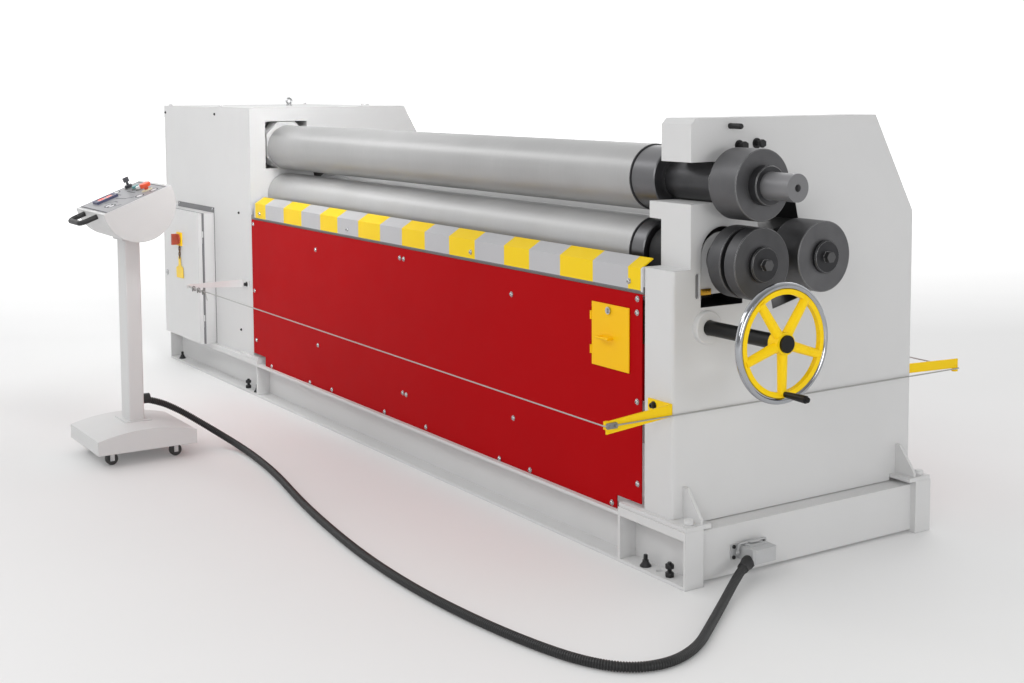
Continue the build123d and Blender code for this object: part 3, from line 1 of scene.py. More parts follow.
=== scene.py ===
# %% [markdown]
# # A plate rolling machine
# This machine bends flat steel into drums and cones between three long rolls. Its solids come from the
# CAD model, in place and in metres. What is left for Blender is what makes it look real: the finishes,
# and the small bought or printed things such as screws, bolts, rope clips and the marks on the control
# desk.

# %% Load the solids
import math

import bmesh
import bpy
from mathutils import Matrix, Vector


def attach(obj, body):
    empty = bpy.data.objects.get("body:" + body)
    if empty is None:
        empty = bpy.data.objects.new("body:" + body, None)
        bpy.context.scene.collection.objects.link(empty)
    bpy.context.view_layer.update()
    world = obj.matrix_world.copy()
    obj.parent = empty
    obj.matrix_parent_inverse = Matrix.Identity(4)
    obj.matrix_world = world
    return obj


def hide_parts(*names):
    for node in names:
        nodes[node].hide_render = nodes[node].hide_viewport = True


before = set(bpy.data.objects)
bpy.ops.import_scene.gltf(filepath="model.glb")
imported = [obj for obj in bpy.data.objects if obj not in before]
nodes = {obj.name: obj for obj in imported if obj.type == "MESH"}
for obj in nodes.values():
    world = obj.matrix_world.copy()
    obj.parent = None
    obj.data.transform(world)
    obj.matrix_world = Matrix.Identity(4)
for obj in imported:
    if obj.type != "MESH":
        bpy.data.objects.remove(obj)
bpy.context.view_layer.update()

# %% [markdown]
# Drawings of machines are in millimetres and Blender works in metres. One factor and one helper keep the
# numbers below readable: every place is written as on the drawing.

# %% Millimetres
MM = 0.001


def at(x, y, z):
    """A place on the drawing, in metres."""
    return Vector((x, y, z)) * MM


def facing(point, normal):
    """A matrix whose Z axis stands on a surface at point."""
    turn = Vector(normal).to_track_quat("Z", "Y").to_matrix().to_4x4()
    return Matrix.Translation(point) @ turn


print("a metre is", round(1 / MM), "units of the drawing")

# %% [markdown]
# ## Camera
# A camera aimed by hand would put every comparison with the photograph off by a little. Here its place,
# turn and lens come from fitting the machine's straight edges. The lens axis meets the picture above its
# middle, which a vertical shift of the sensor reproduces.

# %% Camera
PHOTO_WIDTH = 1024
PHOTO_HEIGHT = 683
AXIS_ROW = 208.6
SENSOR_WIDTH = 36.0
LENS = 50.01
CAMERA_PLACE = (4885.8, -2891.6, 1355.8)
CAMERA_ANGLES = (57.086, 4.907, 0.283)


def show(name, data):
    """A new object in the scene."""
    made = bpy.data.objects.new(name, data)
    bpy.context.scene.collection.objects.link(made)
    return made


yaw, pitch, roll = (math.radians(angle) for angle in CAMERA_ANGLES)
ahead = Vector((-math.sin(yaw) * math.cos(pitch), math.cos(yaw) * math.cos(pitch), -math.sin(pitch)))
level = Vector((math.cos(yaw), math.sin(yaw), 0.0))
down = ahead.cross(level)
side = level * math.cos(roll) + down * math.sin(roll)
up = level * math.sin(roll) - down * math.cos(roll)
camera = show("camera", bpy.data.cameras.new("camera"))
camera.data.sensor_width = SENSOR_WIDTH
camera.data.lens = LENS
camera.data.shift_y = (AXIS_ROW - PHOTO_HEIGHT / 2) / PHOTO_WIDTH
camera_turn = Matrix((side, up, -ahead)).transposed().to_4x4()
camera.matrix_world = Matrix.Translation(at(*CAMERA_PLACE)) @ camera_turn
bpy.context.scene.camera = camera
print("camera", [round(c, 3) for c in camera.location], "shift", round(camera.data.shift_y, 4))

# %% [markdown]
# ## Materials
# A finish is written once, as a function, and used for every piece that has it. Colours are the sRGB
# values that a paint card or a photo editor shows, so one function turns them to linear light. Pattern
# scales come from real sizes: a noise texture repeats about once per unit, so a grain of so many
# millimetres needs 1000 over that size as its scale.

# %% Material helpers
def linear(colour, share=1.0):
    """An sRGB hex colour as the linear values of Blender's colour sockets, at a share of its light."""
    parts = [int(colour[i:i + 2], 16) / 255 for i in (1, 3, 5)]
    light = [c / 12.92 if c <= 0.04045 else ((c + 0.055) / 1.055) ** 2.4 for c in parts]
    return [c * share for c in light] + [1.0]


def grain(size):
    """Texture scale for a pattern of that size in millimetres."""
    return 1.0 / (size * MM)


def first(source):
    """A socket as it is, or else a node's first output."""
    return source if isinstance(source, bpy.types.NodeSocket) else source.outputs[0]


def add(material, kind, settings=None, links=None):
    """Add a node, set its properties (lower case) and inputs, and join inputs to other nodes' outputs."""
    tree = material.node_tree
    node = tree.nodes.new("ShaderNode" + kind)
    for name, value in (settings or {}).items():
        if isinstance(name, str) and name.islower():
            setattr(node, name, value)
        else:
            node.inputs[name].default_value = value
    for name, source in (links or {}).items():
        tree.links.new(first(source), node.inputs[name])
    return node


def plain(name, colour, roughness, metallic=0.0):
    """Start a material with its plain shader values."""
    material = bpy.data.materials.new(name)
    material.use_nodes = True
    shader = material.node_tree.nodes["Principled BSDF"]
    shader.inputs["Base Color"].default_value = linear(colour)
    shader.inputs["Roughness"].default_value = roughness
    shader.inputs["Metallic"].default_value = metallic
    return material, shader


def reach(material, shader, **sources):
    """Join nodes or their outputs to the shader's sockets."""
    for name, source in sources.items():
        material.node_tree.links.new(first(source), shader.inputs[name.replace("_", " ")])


print("half of full light is", round(linear("#BCBCBC")[0], 3))

# %% [markdown]
# Machine paint is sprayed in one thick coat over welded and folded steel. The eye sees a satin surface
# whose tone drifts slightly over half a metre, a fine orange peel in the highlights, and edges that the
# paint has rounded. The solids have sharp edges, so a Bevel node rounds them in the light only. The real
# orange peel is about 2 mm, and is drawn at 7 mm so that it shows.

# %% Machine paint
TONE_DRIFT = 520.0
HANDLING = 90.0
ORANGE_PEEL = 7.0


def machine_paint(name, colour, shade, roughness, edge=2.5, shine=0.15):
    """Satin paint between two close tones, with edges rounded by so many millimetres."""
    material, shader = plain(name, colour, roughness)
    shader.inputs["Specular IOR Level"].default_value = shine
    place = add(material, "TexCoord").outputs["Object"]
    drift = add(material, "TexNoise", {"Scale": grain(TONE_DRIFT), "Detail": 4.0, "Roughness": 0.6},
                {"Vector": place})
    tone = add(material, "Mix", {"data_type": "RGBA", 6: linear(colour), 7: linear(shade)}, {0: drift})
    handled = add(material, "TexNoise", {"Scale": grain(HANDLING), "Detail": 5.0}, {"Vector": place})
    gloss = add(material, "MapRange", {3: roughness - 0.06, 4: roughness + 0.08}, {0: handled})
    peel = add(material, "TexNoise", {"Scale": grain(ORANGE_PEEL), "Detail": 1.0}, {"Vector": place})
    rounded = add(material, "Bevel", {"samples": 4, "Radius": edge * MM})
    bump = add(material, "Bump", {"Strength": 0.12, "Distance": 0.3 * MM},
               {"Height": peel, "Normal": rounded})
    reach(material, shader, Base_Color=tone.outputs[2], Roughness=gloss, Normal=bump)
    return material


grey_paint = machine_paint("light_grey_machine_paint", "#DCDCDC", "#D2D2D2", 0.42)
red_paint = machine_paint("red_machine_paint", "#B4060F", "#AA050D", 0.45, shine=0.03)
yellow_paint = machine_paint("yellow_safety_enamel", "#FFD91A", "#FACD12", 0.30, edge=1.5)
wheel_paint = machine_paint("yellow_cast_wheel_enamel", "#FFD91A", "#FACD12", 0.28, edge=1.5)
orange_paint = machine_paint("signal_yellow_enamel", "#FFC80F", "#F8BE0C", 0.33, edge=1.0)
frame_paint = machine_paint("light_grey_frame_paint", "#DCDCDC", "#D2D2D2", 0.42)
block_paint = machine_paint("light_grey_block_paint", "#D2D2D2", "#C8C8C8", 0.45)
rail_paint = machine_paint("mid_grey_machine_paint", "#8C8A86", "#838180", 0.5)
motor_paint = machine_paint("dark_grey_motor_enamel", "#5B5E62", "#53565A", 0.45)
door_paint = machine_paint("light_grey_enclosure_paint", "#DADADA", "#D2D2D2", 0.38, edge=1.0)
body_paint = machine_paint("grey_enclosure_paint", "#D6D6D6", "#CFCFCF", 0.40, edge=1.0)
print("materials so far", len(bpy.data.materials))

# %% [markdown]
# Some pieces have two colours, such as a frame with dark walls in its slots, and some second colours are
# painted shade. A mask that is 1 inside a box of the drawing says where the second colour lies, and a Mix
# node lays it over the first.

# %% Second colours
def lay_over(material, mask, colour):
    """Lay a second colour over the first where the mask is 1."""
    shader = material.node_tree.nodes["Principled BSDF"]
    under = shader.inputs["Base Color"].links[0].from_socket
    mix = add(material, "Mix", {"data_type": "RGBA", 7: linear(colour)}, {0: mask, 6: under})
    reach(material, shader, Base_Color=mix.outputs[2])


def tint_box(material, box, colour):
    """Lay a second colour over what is inside a box, given as its spans in millimetres."""
    split = add(material, "SeparateXYZ", {}, {0: add(material, "TexCoord").outputs["Object"]})
    mask = None
    for axis, (low, high) in box.items():
        span = {"operation": "COMPARE", 1: (low + high) / 2 * MM, 2: (high - low) / 2 * MM}
        inside = add(material, "Math", span, {0: split.outputs[axis]})
        if mask is not None:
            inside = add(material, "Math", {"operation": "MULTIPLY"}, {0: mask, 1: inside})
        mask = inside
    lay_over(material, mask, colour)
    print(material.name, "is", colour, "inside", box)


# %% [markdown]
# The walls inside the slots of the right frame are painted nearly black: they are bare oiled steel, and the
# black is also painted shade inside the slots. The sliding blocks are black with oil behind their faces.
# The groove of the setting scale beside the lower slot has its floor painted darker grey, as painted shade
# in the groove. The handwheel's hub has a black end, the isolator sits on a yellow square, and painted
# shadow lines lie where the cabinet's flange and door meet the sheet.

# %% Slots painted dark, hub, isolator seat and painted shadow lines
SLOT_DEPTH = (1804.5, 1930.5)
LOWER_SLOT = {"X": SLOT_DEPTH, "Y": (-368.0, -212.0), "Z": (700.0, 1000.0)}
REAR_SLOT = {"X": SLOT_DEPTH, "Y": (-180.0, 75.0), "Z": (700.0, 1075.0)}
SCALE_GROOVE = {"X": (1924.5, 1925.5), "Y": (-387.0, -369.0), "Z": (770.0, 850.0)}
ISOLATOR_SEAT = {"X": (-1712.5, -1647.5), "Z": (602.5, 667.5), "Y": (-560.0, -541.2)}
for paint, box, colour in (
    # slot walls painted nearly black: bare oiled steel, darkened further as painted shade inside the slots
    (frame_paint, LOWER_SLOT, "#2B2B2C"),
    (frame_paint, REAR_SLOT, "#2B2B2C"),
    # painted shade: the floor of the scale groove is painted darker grey
    (frame_paint, SCALE_GROOVE, "#8A8A8C"),
    (block_paint, {"X": (-2000.0, 1924.0)}, "#343435"),
    (wheel_paint, {"X": (2246.0, 2400.0)}, "#1B1B1C"),
    (door_paint, ISOLATOR_SEAT, "#FFD01A"),
    # painted shadow lines: a dark band where the flange meets the sheet, and one along the door's seam
    (body_paint, {"Y": (-462.0, -457.0)}, "#7E7E80"),
    (body_paint, {"Y": (-524.0, -512.0)}, "#7A7A7C"),
):
    tint_box(paint, box, colour)

# %% [markdown]
# The guard over the front edge of the panel is grey with yellow bands, masked and sprayed. A colour ramp
# with constant steps is the shortest way to a row of bands: its factor is the place along the machine.
# The guard's lower edge is painted dark grey as a painted shadow.

# %% Striped guard
GUARD_BANDS = ((-930, -815), (-622, -452), (-266, -112), (68, 239), (410, 572), (747, 905), (1082, 1233),
               (1403, 1569), (1737, 1800))
GUARD_START = -1000.0
GUARD_END = 1850.0
guard_paint = machine_paint("banded_guard_paint", "#C2C2C4", "#B8B8BB", 0.40)
split = add(guard_paint, "SeparateXYZ", {}, {0: add(guard_paint, "TexCoord").outputs["Object"]})
share = add(guard_paint, "MapRange", {1: GUARD_START * MM, 2: GUARD_END * MM}, {0: split.outputs["X"]})
bands = add(guard_paint, "ValToRGB", {}, {0: share})
bands.color_ramp.interpolation = "CONSTANT"
bands.color_ramp.elements.remove(bands.color_ramp.elements[1])
bands.color_ramp.elements[0].color = (0, 0, 0, 1)
for start, stop in GUARD_BANDS:
    for edge, value in ((start, 1.0), (stop, 0.0)):
        step = bands.color_ramp.elements.new((edge - GUARD_START) / (GUARD_END - GUARD_START))
        step.color = (value, value, value, 1.0)
lay_over(guard_paint, bands, "#F8D214")
# painted shadow along the guard's lower edge
tint_box(guard_paint, {"Z": (780.0, 790.0)}, "#77777A")
print("guard bands", len(GUARD_BANDS))

# %% [markdown]
# The rolls are ground between centres, which leaves fine lines round them. Such lines scatter light along
# the roll and keep the highlight as one long soft band. A noise texture squeezed along X gives the lines.
# Real grinding lines are some tenths of a millimetre apart, and are drawn at 2.5 mm so that they show.
# The necks and end faces carry a black oxide, and only the free end of the top shaft is bare again.

# %% Ground roll steel
GRINDING = (grain(2.5), grain(700.0), grain(700.0))
ROLL_CLOUD = 260.0


def ground_steel(name, colour, roughness, zones, metallic=0.5):
    """Ground steel with other colours in some zones along X."""
    material, shader = plain(name, colour, roughness, metallic)
    place = add(material, "TexCoord").outputs["Object"]
    squeeze = add(material, "Mapping", {"Scale": GRINDING}, {"Vector": place})
    lines = add(material, "TexNoise", {"Scale": 1.0, "Detail": 3.0, "Roughness": 0.7},
                {"Vector": squeeze})
    cloud = add(material, "TexNoise", {"Scale": grain(ROLL_CLOUD), "Detail": 4.0}, {"Vector": place})
    blend = add(material, "Math", {"operation": "MULTIPLY_ADD", 1: 0.45}, {0: lines, 2: cloud})
    tone = add(material, "MapRange", {1: 0.4, 2: 1.1, 3: 0.0, 4: 1.0}, {0: blend})
    steel = add(material, "Mix", {"data_type": "RGBA", 6: linear(colour, 0.80), 7: linear(colour)},
                {0: tone})
    gloss = add(material, "MapRange", {1: 0.3, 2: 1.2, 3: roughness - 0.05, 4: roughness + 0.09},
                {0: blend})
    bump = add(material, "Bump", {"Strength": 0.05, "Distance": 0.2 * MM}, {"Height": lines})
    reach(material, shader, Base_Color=steel.outputs[2], Roughness=gloss, Normal=bump)
    for start, stop, tint in zones:
        tint_box(material, {"X": (start, stop)}, tint)
    return material


TOP_ZONES = ((1637.5, 1748.5, "#58585A"), (1748.5, 2121.0, "#4A4A4C"), (2121.0, 2300.0, "#808082"))
LOWER_ZONES = ((1637.5, 1661.0, "#4E4E50"), (1661.0, 3000.0, "#5E5E60"))
top_steel = ground_steel("ground_roll_steel_top", "#B4B4B4", 0.38, TOP_ZONES)
# The lower and rear rolls and the cross shaft get a lighter, less metallic copy of the ground steel:
# painted light that lifts the lower roll's top out of the top roll's shade.
roll_steel = ground_steel("ground_roll_steel", "#BEBEBE", 0.36, LOWER_ZONES, metallic=0.25)

# %% [markdown]
# The short section rolls are turned from tool steel and oiled dark. On their faces the tool marks are
# circles round the shaft, so the pattern runs on the distance from that axis: the coordinates are moved
# to the shaft, flattened along it, and their length drives a noise. Real tool marks are some tenths of a
# millimetre apart, and are drawn at 2.2 mm so that they show. The rims carry a painted highlight: where
# the rounded normal of a Bevel node leaves the true one there is an edge, and it is painted light grey.

# %% Turned dark steel
TOOL_MARKS = 2.2
OIL_CLOUD = 60.0
RIM_HIGHLIGHT_RADIUS = 2.5


def turned_steel(name, colour, roughness, axis_y, axis_z):
    """Dark turned steel with tool marks round an axis along X, and a painted highlight on its rims."""
    material, shader = plain(name, colour, roughness, metallic=0.85)
    place = add(material, "TexCoord").outputs["Object"]
    centred = add(material, "Mapping", {"Location": (0.0, -axis_y * MM, -axis_z * MM)}, {"Vector": place})
    flat = add(material, "VectorMath", {"operation": "MULTIPLY", 1: (0.0, 1.0, 1.0)}, {0: centred})
    radius = add(material, "VectorMath", {"operation": "LENGTH"}, {0: flat})
    split = add(material, "SeparateXYZ", {}, {0: place})
    track = add(material, "Math", {"operation": "ADD"}, {0: radius.outputs["Value"], 1: split.outputs["X"]})
    marks = add(material, "TexNoise", {"noise_dimensions": "1D", "Scale": grain(TOOL_MARKS), "Detail": 2.0},
                {"W": track})
    cloud = add(material, "TexNoise", {"Scale": grain(OIL_CLOUD), "Detail": 4.0}, {"Vector": place})
    blend = add(material, "Math", {"operation": "MULTIPLY_ADD", 1: 0.5}, {0: marks, 2: cloud})
    tone = add(material, "MapRange", {1: 0.45, 2: 1.05}, {0: blend})
    steel = add(material, "Mix", {"data_type": "RGBA", 6: linear(colour, 0.72), 7: linear(colour)},
                {0: tone})
    gloss = add(material, "MapRange", {1: 0.3, 2: 1.2, 3: roughness - 0.05, 4: roughness + 0.08},
                {0: blend})
    rounded = add(material, "Bevel", {"samples": 4, "Radius": RIM_HIGHLIGHT_RADIUS * MM})
    bump = add(material, "Bump", {"Strength": 0.08, "Distance": 0.2 * MM},
               {"Height": marks, "Normal": rounded})
    # painted highlight: the rims, where the Bevel normal leaves the true one, are painted light grey
    flatness = add(material, "VectorMath", {"operation": "DOT_PRODUCT"},
                   {0: rounded, 1: add(material, "NewGeometry").outputs["Normal"]})
    rim_highlight_mask = add(material, "MapRange", {1: 0.75, 2: 0.98, 3: 1.0, 4: 0.0}, {0: flatness.outputs["Value"]})
    rim_lit_steel = add(material, "Mix", {"data_type": "RGBA", 7: linear("#C4C4C4")},
               {0: rim_highlight_mask, 6: steel.outputs[2]})
    reach(material, shader, Base_Color=rim_lit_steel.outputs[2], Roughness=gloss, Normal=bump)
    return material


SHAFT_TOP = (-290.0, 1091.5)
SHAFT_LOWER = (-290.0, 880.0)
SHAFT_REAR = (-61.0, 886.0)
section_top = turned_steel("turned_tool_steel_top", "#6C6C6E", 0.45, *SHAFT_TOP)
section_lower = turned_steel("turned_tool_steel_lower", "#5E5E60", 0.45, *SHAFT_LOWER)
section_rear = turned_steel("turned_tool_steel_rear", "#727274", 0.45, *SHAFT_REAR)
oxide_top = turned_steel("black_oxide_steel_top", "#505052", 0.34, *SHAFT_TOP)
oxide_lower = turned_steel("black_oxide_steel_lower", "#444446", 0.36, *SHAFT_LOWER)
oxide_rear = turned_steel("black_oxide_steel_rear", "#444446", 0.36, *SHAFT_REAR)
for cap in (oxide_lower, oxide_rear):
    tint_box(cap, {"X": (2104.5, 2150.0)}, "#606061")

# %% [markdown]
# The rest are small things in common materials: zinc-plated screws, black oxide bolts, a chrome-plated
# rim, die-cast aluminium and brass. Their gloss has the faint smudges of handling.

# %% Small metals
def small_metal(name, colour, roughness, smudge=25.0, metallic=1.0):
    """A metal whose tone and gloss vary over smudges of that size in millimetres."""
    material, shader = plain(name, colour, roughness, metallic)
    place = add(material, "TexCoord").outputs["Object"]
    cloud = add(material, "TexNoise", {"Scale": grain(smudge), "Detail": 4.0}, {"Vector": place})
    tone = add(material, "Mix", {"data_type": "RGBA", 6: linear(colour, 0.86), 7: linear(colour)},
               {0: cloud})
    gloss = add(material, "MapRange", {3: roughness * 0.8, 4: roughness * 1.3}, {0: cloud})
    rounded = add(material, "Bevel", {"samples": 4, "Radius": 0.6 * MM})
    reach(material, shader, Base_Color=tone.outputs[2], Roughness=gloss, Normal=rounded)
    print(name, colour)
    return material


zinc = small_metal("zinc_plated_steel", "#C8C9CA", 0.22)
black_bolt = small_metal("black_oxide_fastener", "#3B3B3C", 0.40, metallic=0.7)
cast_iron = small_metal("oiled_cast_iron", "#3A3A3A", 0.50, smudge=60.0, metallic=0.6)
chrome = small_metal("chrome_plate", "#B4B6BA", 0.10)
brass = small_metal("machined_brass", "#C79A3B", 0.30)
die_cast = small_metal("painted_die_cast_aluminium", "#C4C5C6", 0.45, metallic=0.25)
wire_rope = small_metal("galvanised_wire_rope", "#B0B0AE", 0.40, smudge=8.0, metallic=0.5)
key_metal = small_metal("dark_nickel_key", "#5C5C60", 0.30)
neck_steel = small_metal("polished_neck_steel", "#747476", 0.33, smudge=160.0)
dull_zinc = small_metal("dull_galvanised_casting", "#8E8E8C", 0.50, metallic=0.6)
chain_metal = small_metal("browned_chain_steel", "#6E5238", 0.45, metallic=0.5)

# %% [markdown]
# Grips, buttons, bezels and the conduit are moulded plastics. Mouldings show the fine spark-eroded grain
# of their tool, about 0.5 mm in reality and drawn at 1.5 mm so that it shows. Printing ink gets the same
# grain.

# %% Mouldings and inks
SPARK_GRAIN = 1.5
PLASTIC_CLOUD = 35.0


def moulding(name, colour, roughness, depth=0.12):
    """A moulded plastic with a grain of that depth."""
    material, shader = plain(name, colour, roughness)
    place = add(material, "TexCoord").outputs["Object"]
    cloud = add(material, "TexNoise", {"Scale": grain(PLASTIC_CLOUD), "Detail": 3.0}, {"Vector": place})
    tone = add(material, "Mix", {"data_type": "RGBA", 6: linear(colour, 0.88), 7: linear(colour)},
               {0: cloud})
    spark = add(material, "TexNoise", {"Scale": grain(SPARK_GRAIN), "Detail": 2.0}, {"Vector": place})
    rounded = add(material, "Bevel", {"samples": 4, "Radius": 0.8 * MM})
    bump = add(material, "Bump", {"Strength": depth, "Distance": 0.1 * MM},
               {"Height": spark, "Normal": rounded})
    reach(material, shader, Base_Color=tone.outputs[2], Normal=bump)
    print(name, colour)
    return material


phenolic = moulding("black_phenolic", "#0B0B0C", 0.36, depth=0.04)
phenolic.node_tree.nodes["Principled BSDF"].inputs["Specular IOR Level"].default_value = 0.3
black_nylon = moulding("black_moulded_nylon", "#2A2A2B", 0.50)
conduit_nylon = moulding("black_corrugated_polyamide", "#262627", 0.42)
tread = moulding("grey_rubber_tread", "#3A3A3A", 0.65)
blue_bezel = moulding("blue_moulded_bezel", "#4E5170", 0.40)
red_button = moulding("red_moulded_button", "#EE5A35", 0.30, depth=0.03)
red_handle = moulding("red_moulded_handle", "#AC4A33", 0.42)
teal_button = moulding("teal_moulded_button", "#5FA3A6", 0.30, depth=0.03)
white_button = moulding("white_moulded_button", "#EDEFEF", 0.30, depth=0.03)
yellow_plastic = moulding("yellow_moulded_plastic", "#FBD31C", 0.38)
pale_plastic = moulding("pale_moulded_collar", "#D9D2B4", 0.40)
display_window = moulding("tinted_display_window", "#C79A98", 0.15, depth=0.01)
white_print = moulding("white_printing_ink", "#DADADC", 0.55)
dark_print = moulding("dark_printing_ink", "#2E2E38", 0.55)

# %% [markdown]
# The control desk's top is a brushed plate under a clear film. The brushing runs along the operator's
# width. Real brush lines are finer than a tenth of a millimetre, and are drawn at 0.9 mm so that they
# show.

# %% Brushed control plate
BRUSHING = (grain(60.0), grain(0.9), grain(0.9))
desk_plate, desk_shader = plain("brushed_film_plate", "#9C9C9F", 0.45, metallic=0.35)
desk_place = add(desk_plate, "TexCoord").outputs["Object"]
desk_squeeze = add(desk_plate, "Mapping", {"Scale": BRUSHING}, {"Vector": desk_place})
desk_lines = add(desk_plate, "TexNoise", {"Scale": 1.0, "Detail": 2.0}, {"Vector": desk_squeeze})
desk_tone = add(desk_plate, "Mix", {"data_type": "RGBA", 6: linear("#8F8F93"), 7: linear("#A4A4A7")},
                {0: desk_lines})
reach(desk_plate, desk_shader, Base_Color=desk_tone.outputs[2])
desk_shader.inputs["Coat Weight"].default_value = 0.2
print(desk_plate.name, "with", len(desk_plate.node_tree.nodes), "nodes")

# %% [markdown]
# Every solid keeps its shape and only gets its finish. A table of finish to pieces is easier to read and
# to change than a line for each piece.

# %% Finishes of the solids
FINISHES = (
    (frame_paint, "right_side_frame"),
    (grey_paint, "base_frame left_side_frame drive_housing wire_arm_left top_swivel_block"),
    (grey_paint, "stand_base stand_column stand_head"),
    (red_paint, "front_panel rear_panel"),
    (wheel_paint, "handwheel"),
    (yellow_paint, "wire_arm_right"),
    (orange_paint, "access_door"),
    (rail_paint, "front_rail"),
    (guard_paint, "guard_bar"),
    (door_paint, "cabinet_door"),
    (body_paint, "cabinet_body"),
    (motor_paint, "top_gearmotor lower_gearmotor lower_jacks rear_jacks"),
    (top_steel, "top_roll"),
    (roll_steel, "lower_roll rear_roll rear_cross_shaft"),
    (section_top, "top_section_roll keeper_plate"),
    (section_lower, "lower_section_roll"),
    (section_rear, "rear_section_roll"),
    (oxide_top, "top_collar top_sleeve"),
    (oxide_lower, "lower_cap"),
    (oxide_rear, "rear_cap"),
    (block_paint, "lower_blocks"),
    (cast_iron, "rear_blocks"),
    (chrome, "handwheel_rim"),
    (zinc, "lifting_eye access_latch caster_forks door_lock"),
    (key_metal, "key_switch"),
    (phenolic, "crank_grip cross_shaft"),
    (black_nylon, "stand_handle conduit_gland"),
    (tread, "caster_wheel_a caster_wheel_b caster_wheel_c caster_wheel_d"),
    (die_cast, "connector_base connector_hood"),
    (wire_rope, "trip_wire"),
    (desk_plate, "control_plate"),
    (blue_bezel, "display_unit"),
    (red_button, "emergency_stop"),
    (teal_button, "start_button"),
    (white_button, "stop_button"),
    (red_handle, "isolator_handle"),
    (conduit_nylon, "conduit"),
)
finished = [(finish, name) for finish, names in FINISHES for name in names.split()]
for finish, name in finished:
    for finish_slot in nodes[name].material_slots:
        finish_slot.material = finish
print("finished", len(finished), "of", len(nodes))

# %% [markdown]
# ## The conduit
# A corrugated conduit joins the plug on the base to the control stand. It is stiff enough to run in long
# easy bends over the floor. Its route is one NURBS curve with the same points as the solid.

# %% Conduit route
CONDUIT_POINTS = (
    (2041, -278, 57), (2063, -330, 44), (2098, -388, 30), (2160, -478, 16), (2256, -605, 12.5),
    (2345, -722, 12.5), (2383, -835, 12.5), (2355, -935, 12.5), (2262, -1000, 12.5), (2110, -1042, 12.5),
    (1890, -1076, 12.5), (1620, -1094, 12.5), (1320, -1086, 12.5), (1000, -1052, 12.5), (690, -1006, 12.5),
    (370, -944, 12.5), (110, -912, 12.5), (-70, -906, 18), (-185, -945, 50), (-245, -1005, 95),
    (-275, -1070, 140), (-286, -1140, 178), (-286, -1203, 195),
)
ROUTE_STEPS = 80


def mesh_of(curve):
    """The mesh that Blender makes of a curve."""
    holder = bpy.data.objects.new("holder", curve)
    mesh = bpy.data.meshes.new_from_object(holder)
    bpy.data.objects.remove(holder)
    return mesh


route = bpy.data.curves.new("conduit_route", "CURVE")
route.dimensions = "3D"
line = route.splines.new("NURBS")
line.points.add(len(CONDUIT_POINTS) - 1)
for point, place in zip(line.points, CONDUIT_POINTS):
    point.co = (*at(*place), 1.0)
line.order_u = 3
line.use_endpoint_u = True
line.resolution_u = ROUTE_STEPS
route_mesh = mesh_of(route)
conduit_line = [vert.co.copy() for vert in route_mesh.vertices]
bpy.data.meshes.remove(route_mesh)
spans = [0.0]
for start, stop in zip(conduit_line, conduit_line[1:]):
    spans.append(spans[-1] + (stop - start).length)
conduit_length = spans[-1]
print("conduit route", round(conduit_length, 3), "m through", len(CONDUIT_POINTS), "points")

# %% [markdown]
# The ribs are made by giving a second curve, laid on the first, a radius that rises and falls along it.
# Real ribs of this size are about 7 mm apart. Each has a flat crest and a flat root, so four points make
# one rib.

# %% Conduit ribs
CONDUIT_DIAMETER = 25.0
RIB_PITCH = 7.0
RIB_FORM = ((0.10, 0.83), (0.30, 1.0), (0.70, 1.0), (0.90, 0.83))
RIB_CREASE = 50.0
rib_count = round(conduit_length / (RIB_PITCH * MM))
hose = bpy.data.curves.new("conduit_hose", "CURVE")
hose.dimensions = "3D"
hose.bevel_depth = CONDUIT_DIAMETER / 2 * MM
hose.bevel_resolution = 5
hose.use_fill_caps = True
run = hose.splines.new("POLY")
run.points.add(rib_count * len(RIB_FORM) - 1)
step = 0
for number, point in enumerate(run.points):
    rib, phase = divmod(number, len(RIB_FORM))
    along, radius = RIB_FORM[phase]
    target = (rib + along) / rib_count * conduit_length
    while spans[step + 1] < target:
        step += 1
    part = (target - spans[step]) / (spans[step + 1] - spans[step])
    point.co = (*conduit_line[step].lerp(conduit_line[step + 1], part), 1.0)
    point.radius = radius
conduit_mesh = mesh_of(hose)
conduit_mesh.materials.clear()
conduit_mesh.materials.append(conduit_nylon)
conduit_mesh.shade_smooth()
conduit_mesh.set_sharp_from_angle(angle=math.radians(RIB_CREASE))
conduit = show("corrugated_conduit", conduit_mesh)
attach(conduit, "frame")
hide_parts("conduit")
print("conduit with", rib_count, "ribs,", len(conduit_mesh.polygons), "faces")

# %% [markdown]
# ## Helpers for small pieces
# Most small hardware is turned or hexagonal. A lathe that spins a half outline makes every round thing,
# and a six-sided cone makes every hexagon. Each group of equal pieces becomes one object, which keeps the
# list of pieces short.

# %% Piece helpers
CREASE = 38.0


def piece(name, shape, material, body="frame"):
    """Turn a finished bmesh into an object that rides on a body."""
    bmesh.ops.recalc_face_normals(shape, faces=shape.faces)
    mesh = bpy.data.meshes.new(name)
    shape.to_mesh(mesh)
    shape.free()
    mesh.materials.append(material)
    mesh.shade_smooth()
    mesh.set_sharp_from_angle(angle=math.radians(CREASE))
    made = show(name, mesh)
    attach(made, body)
    print(name, len(mesh.polygons), "faces on", body)


def raised(height):
    """A move along the local Z axis, in millimetres."""
    return Matrix.Translation((0.0, 0.0, height * MM))


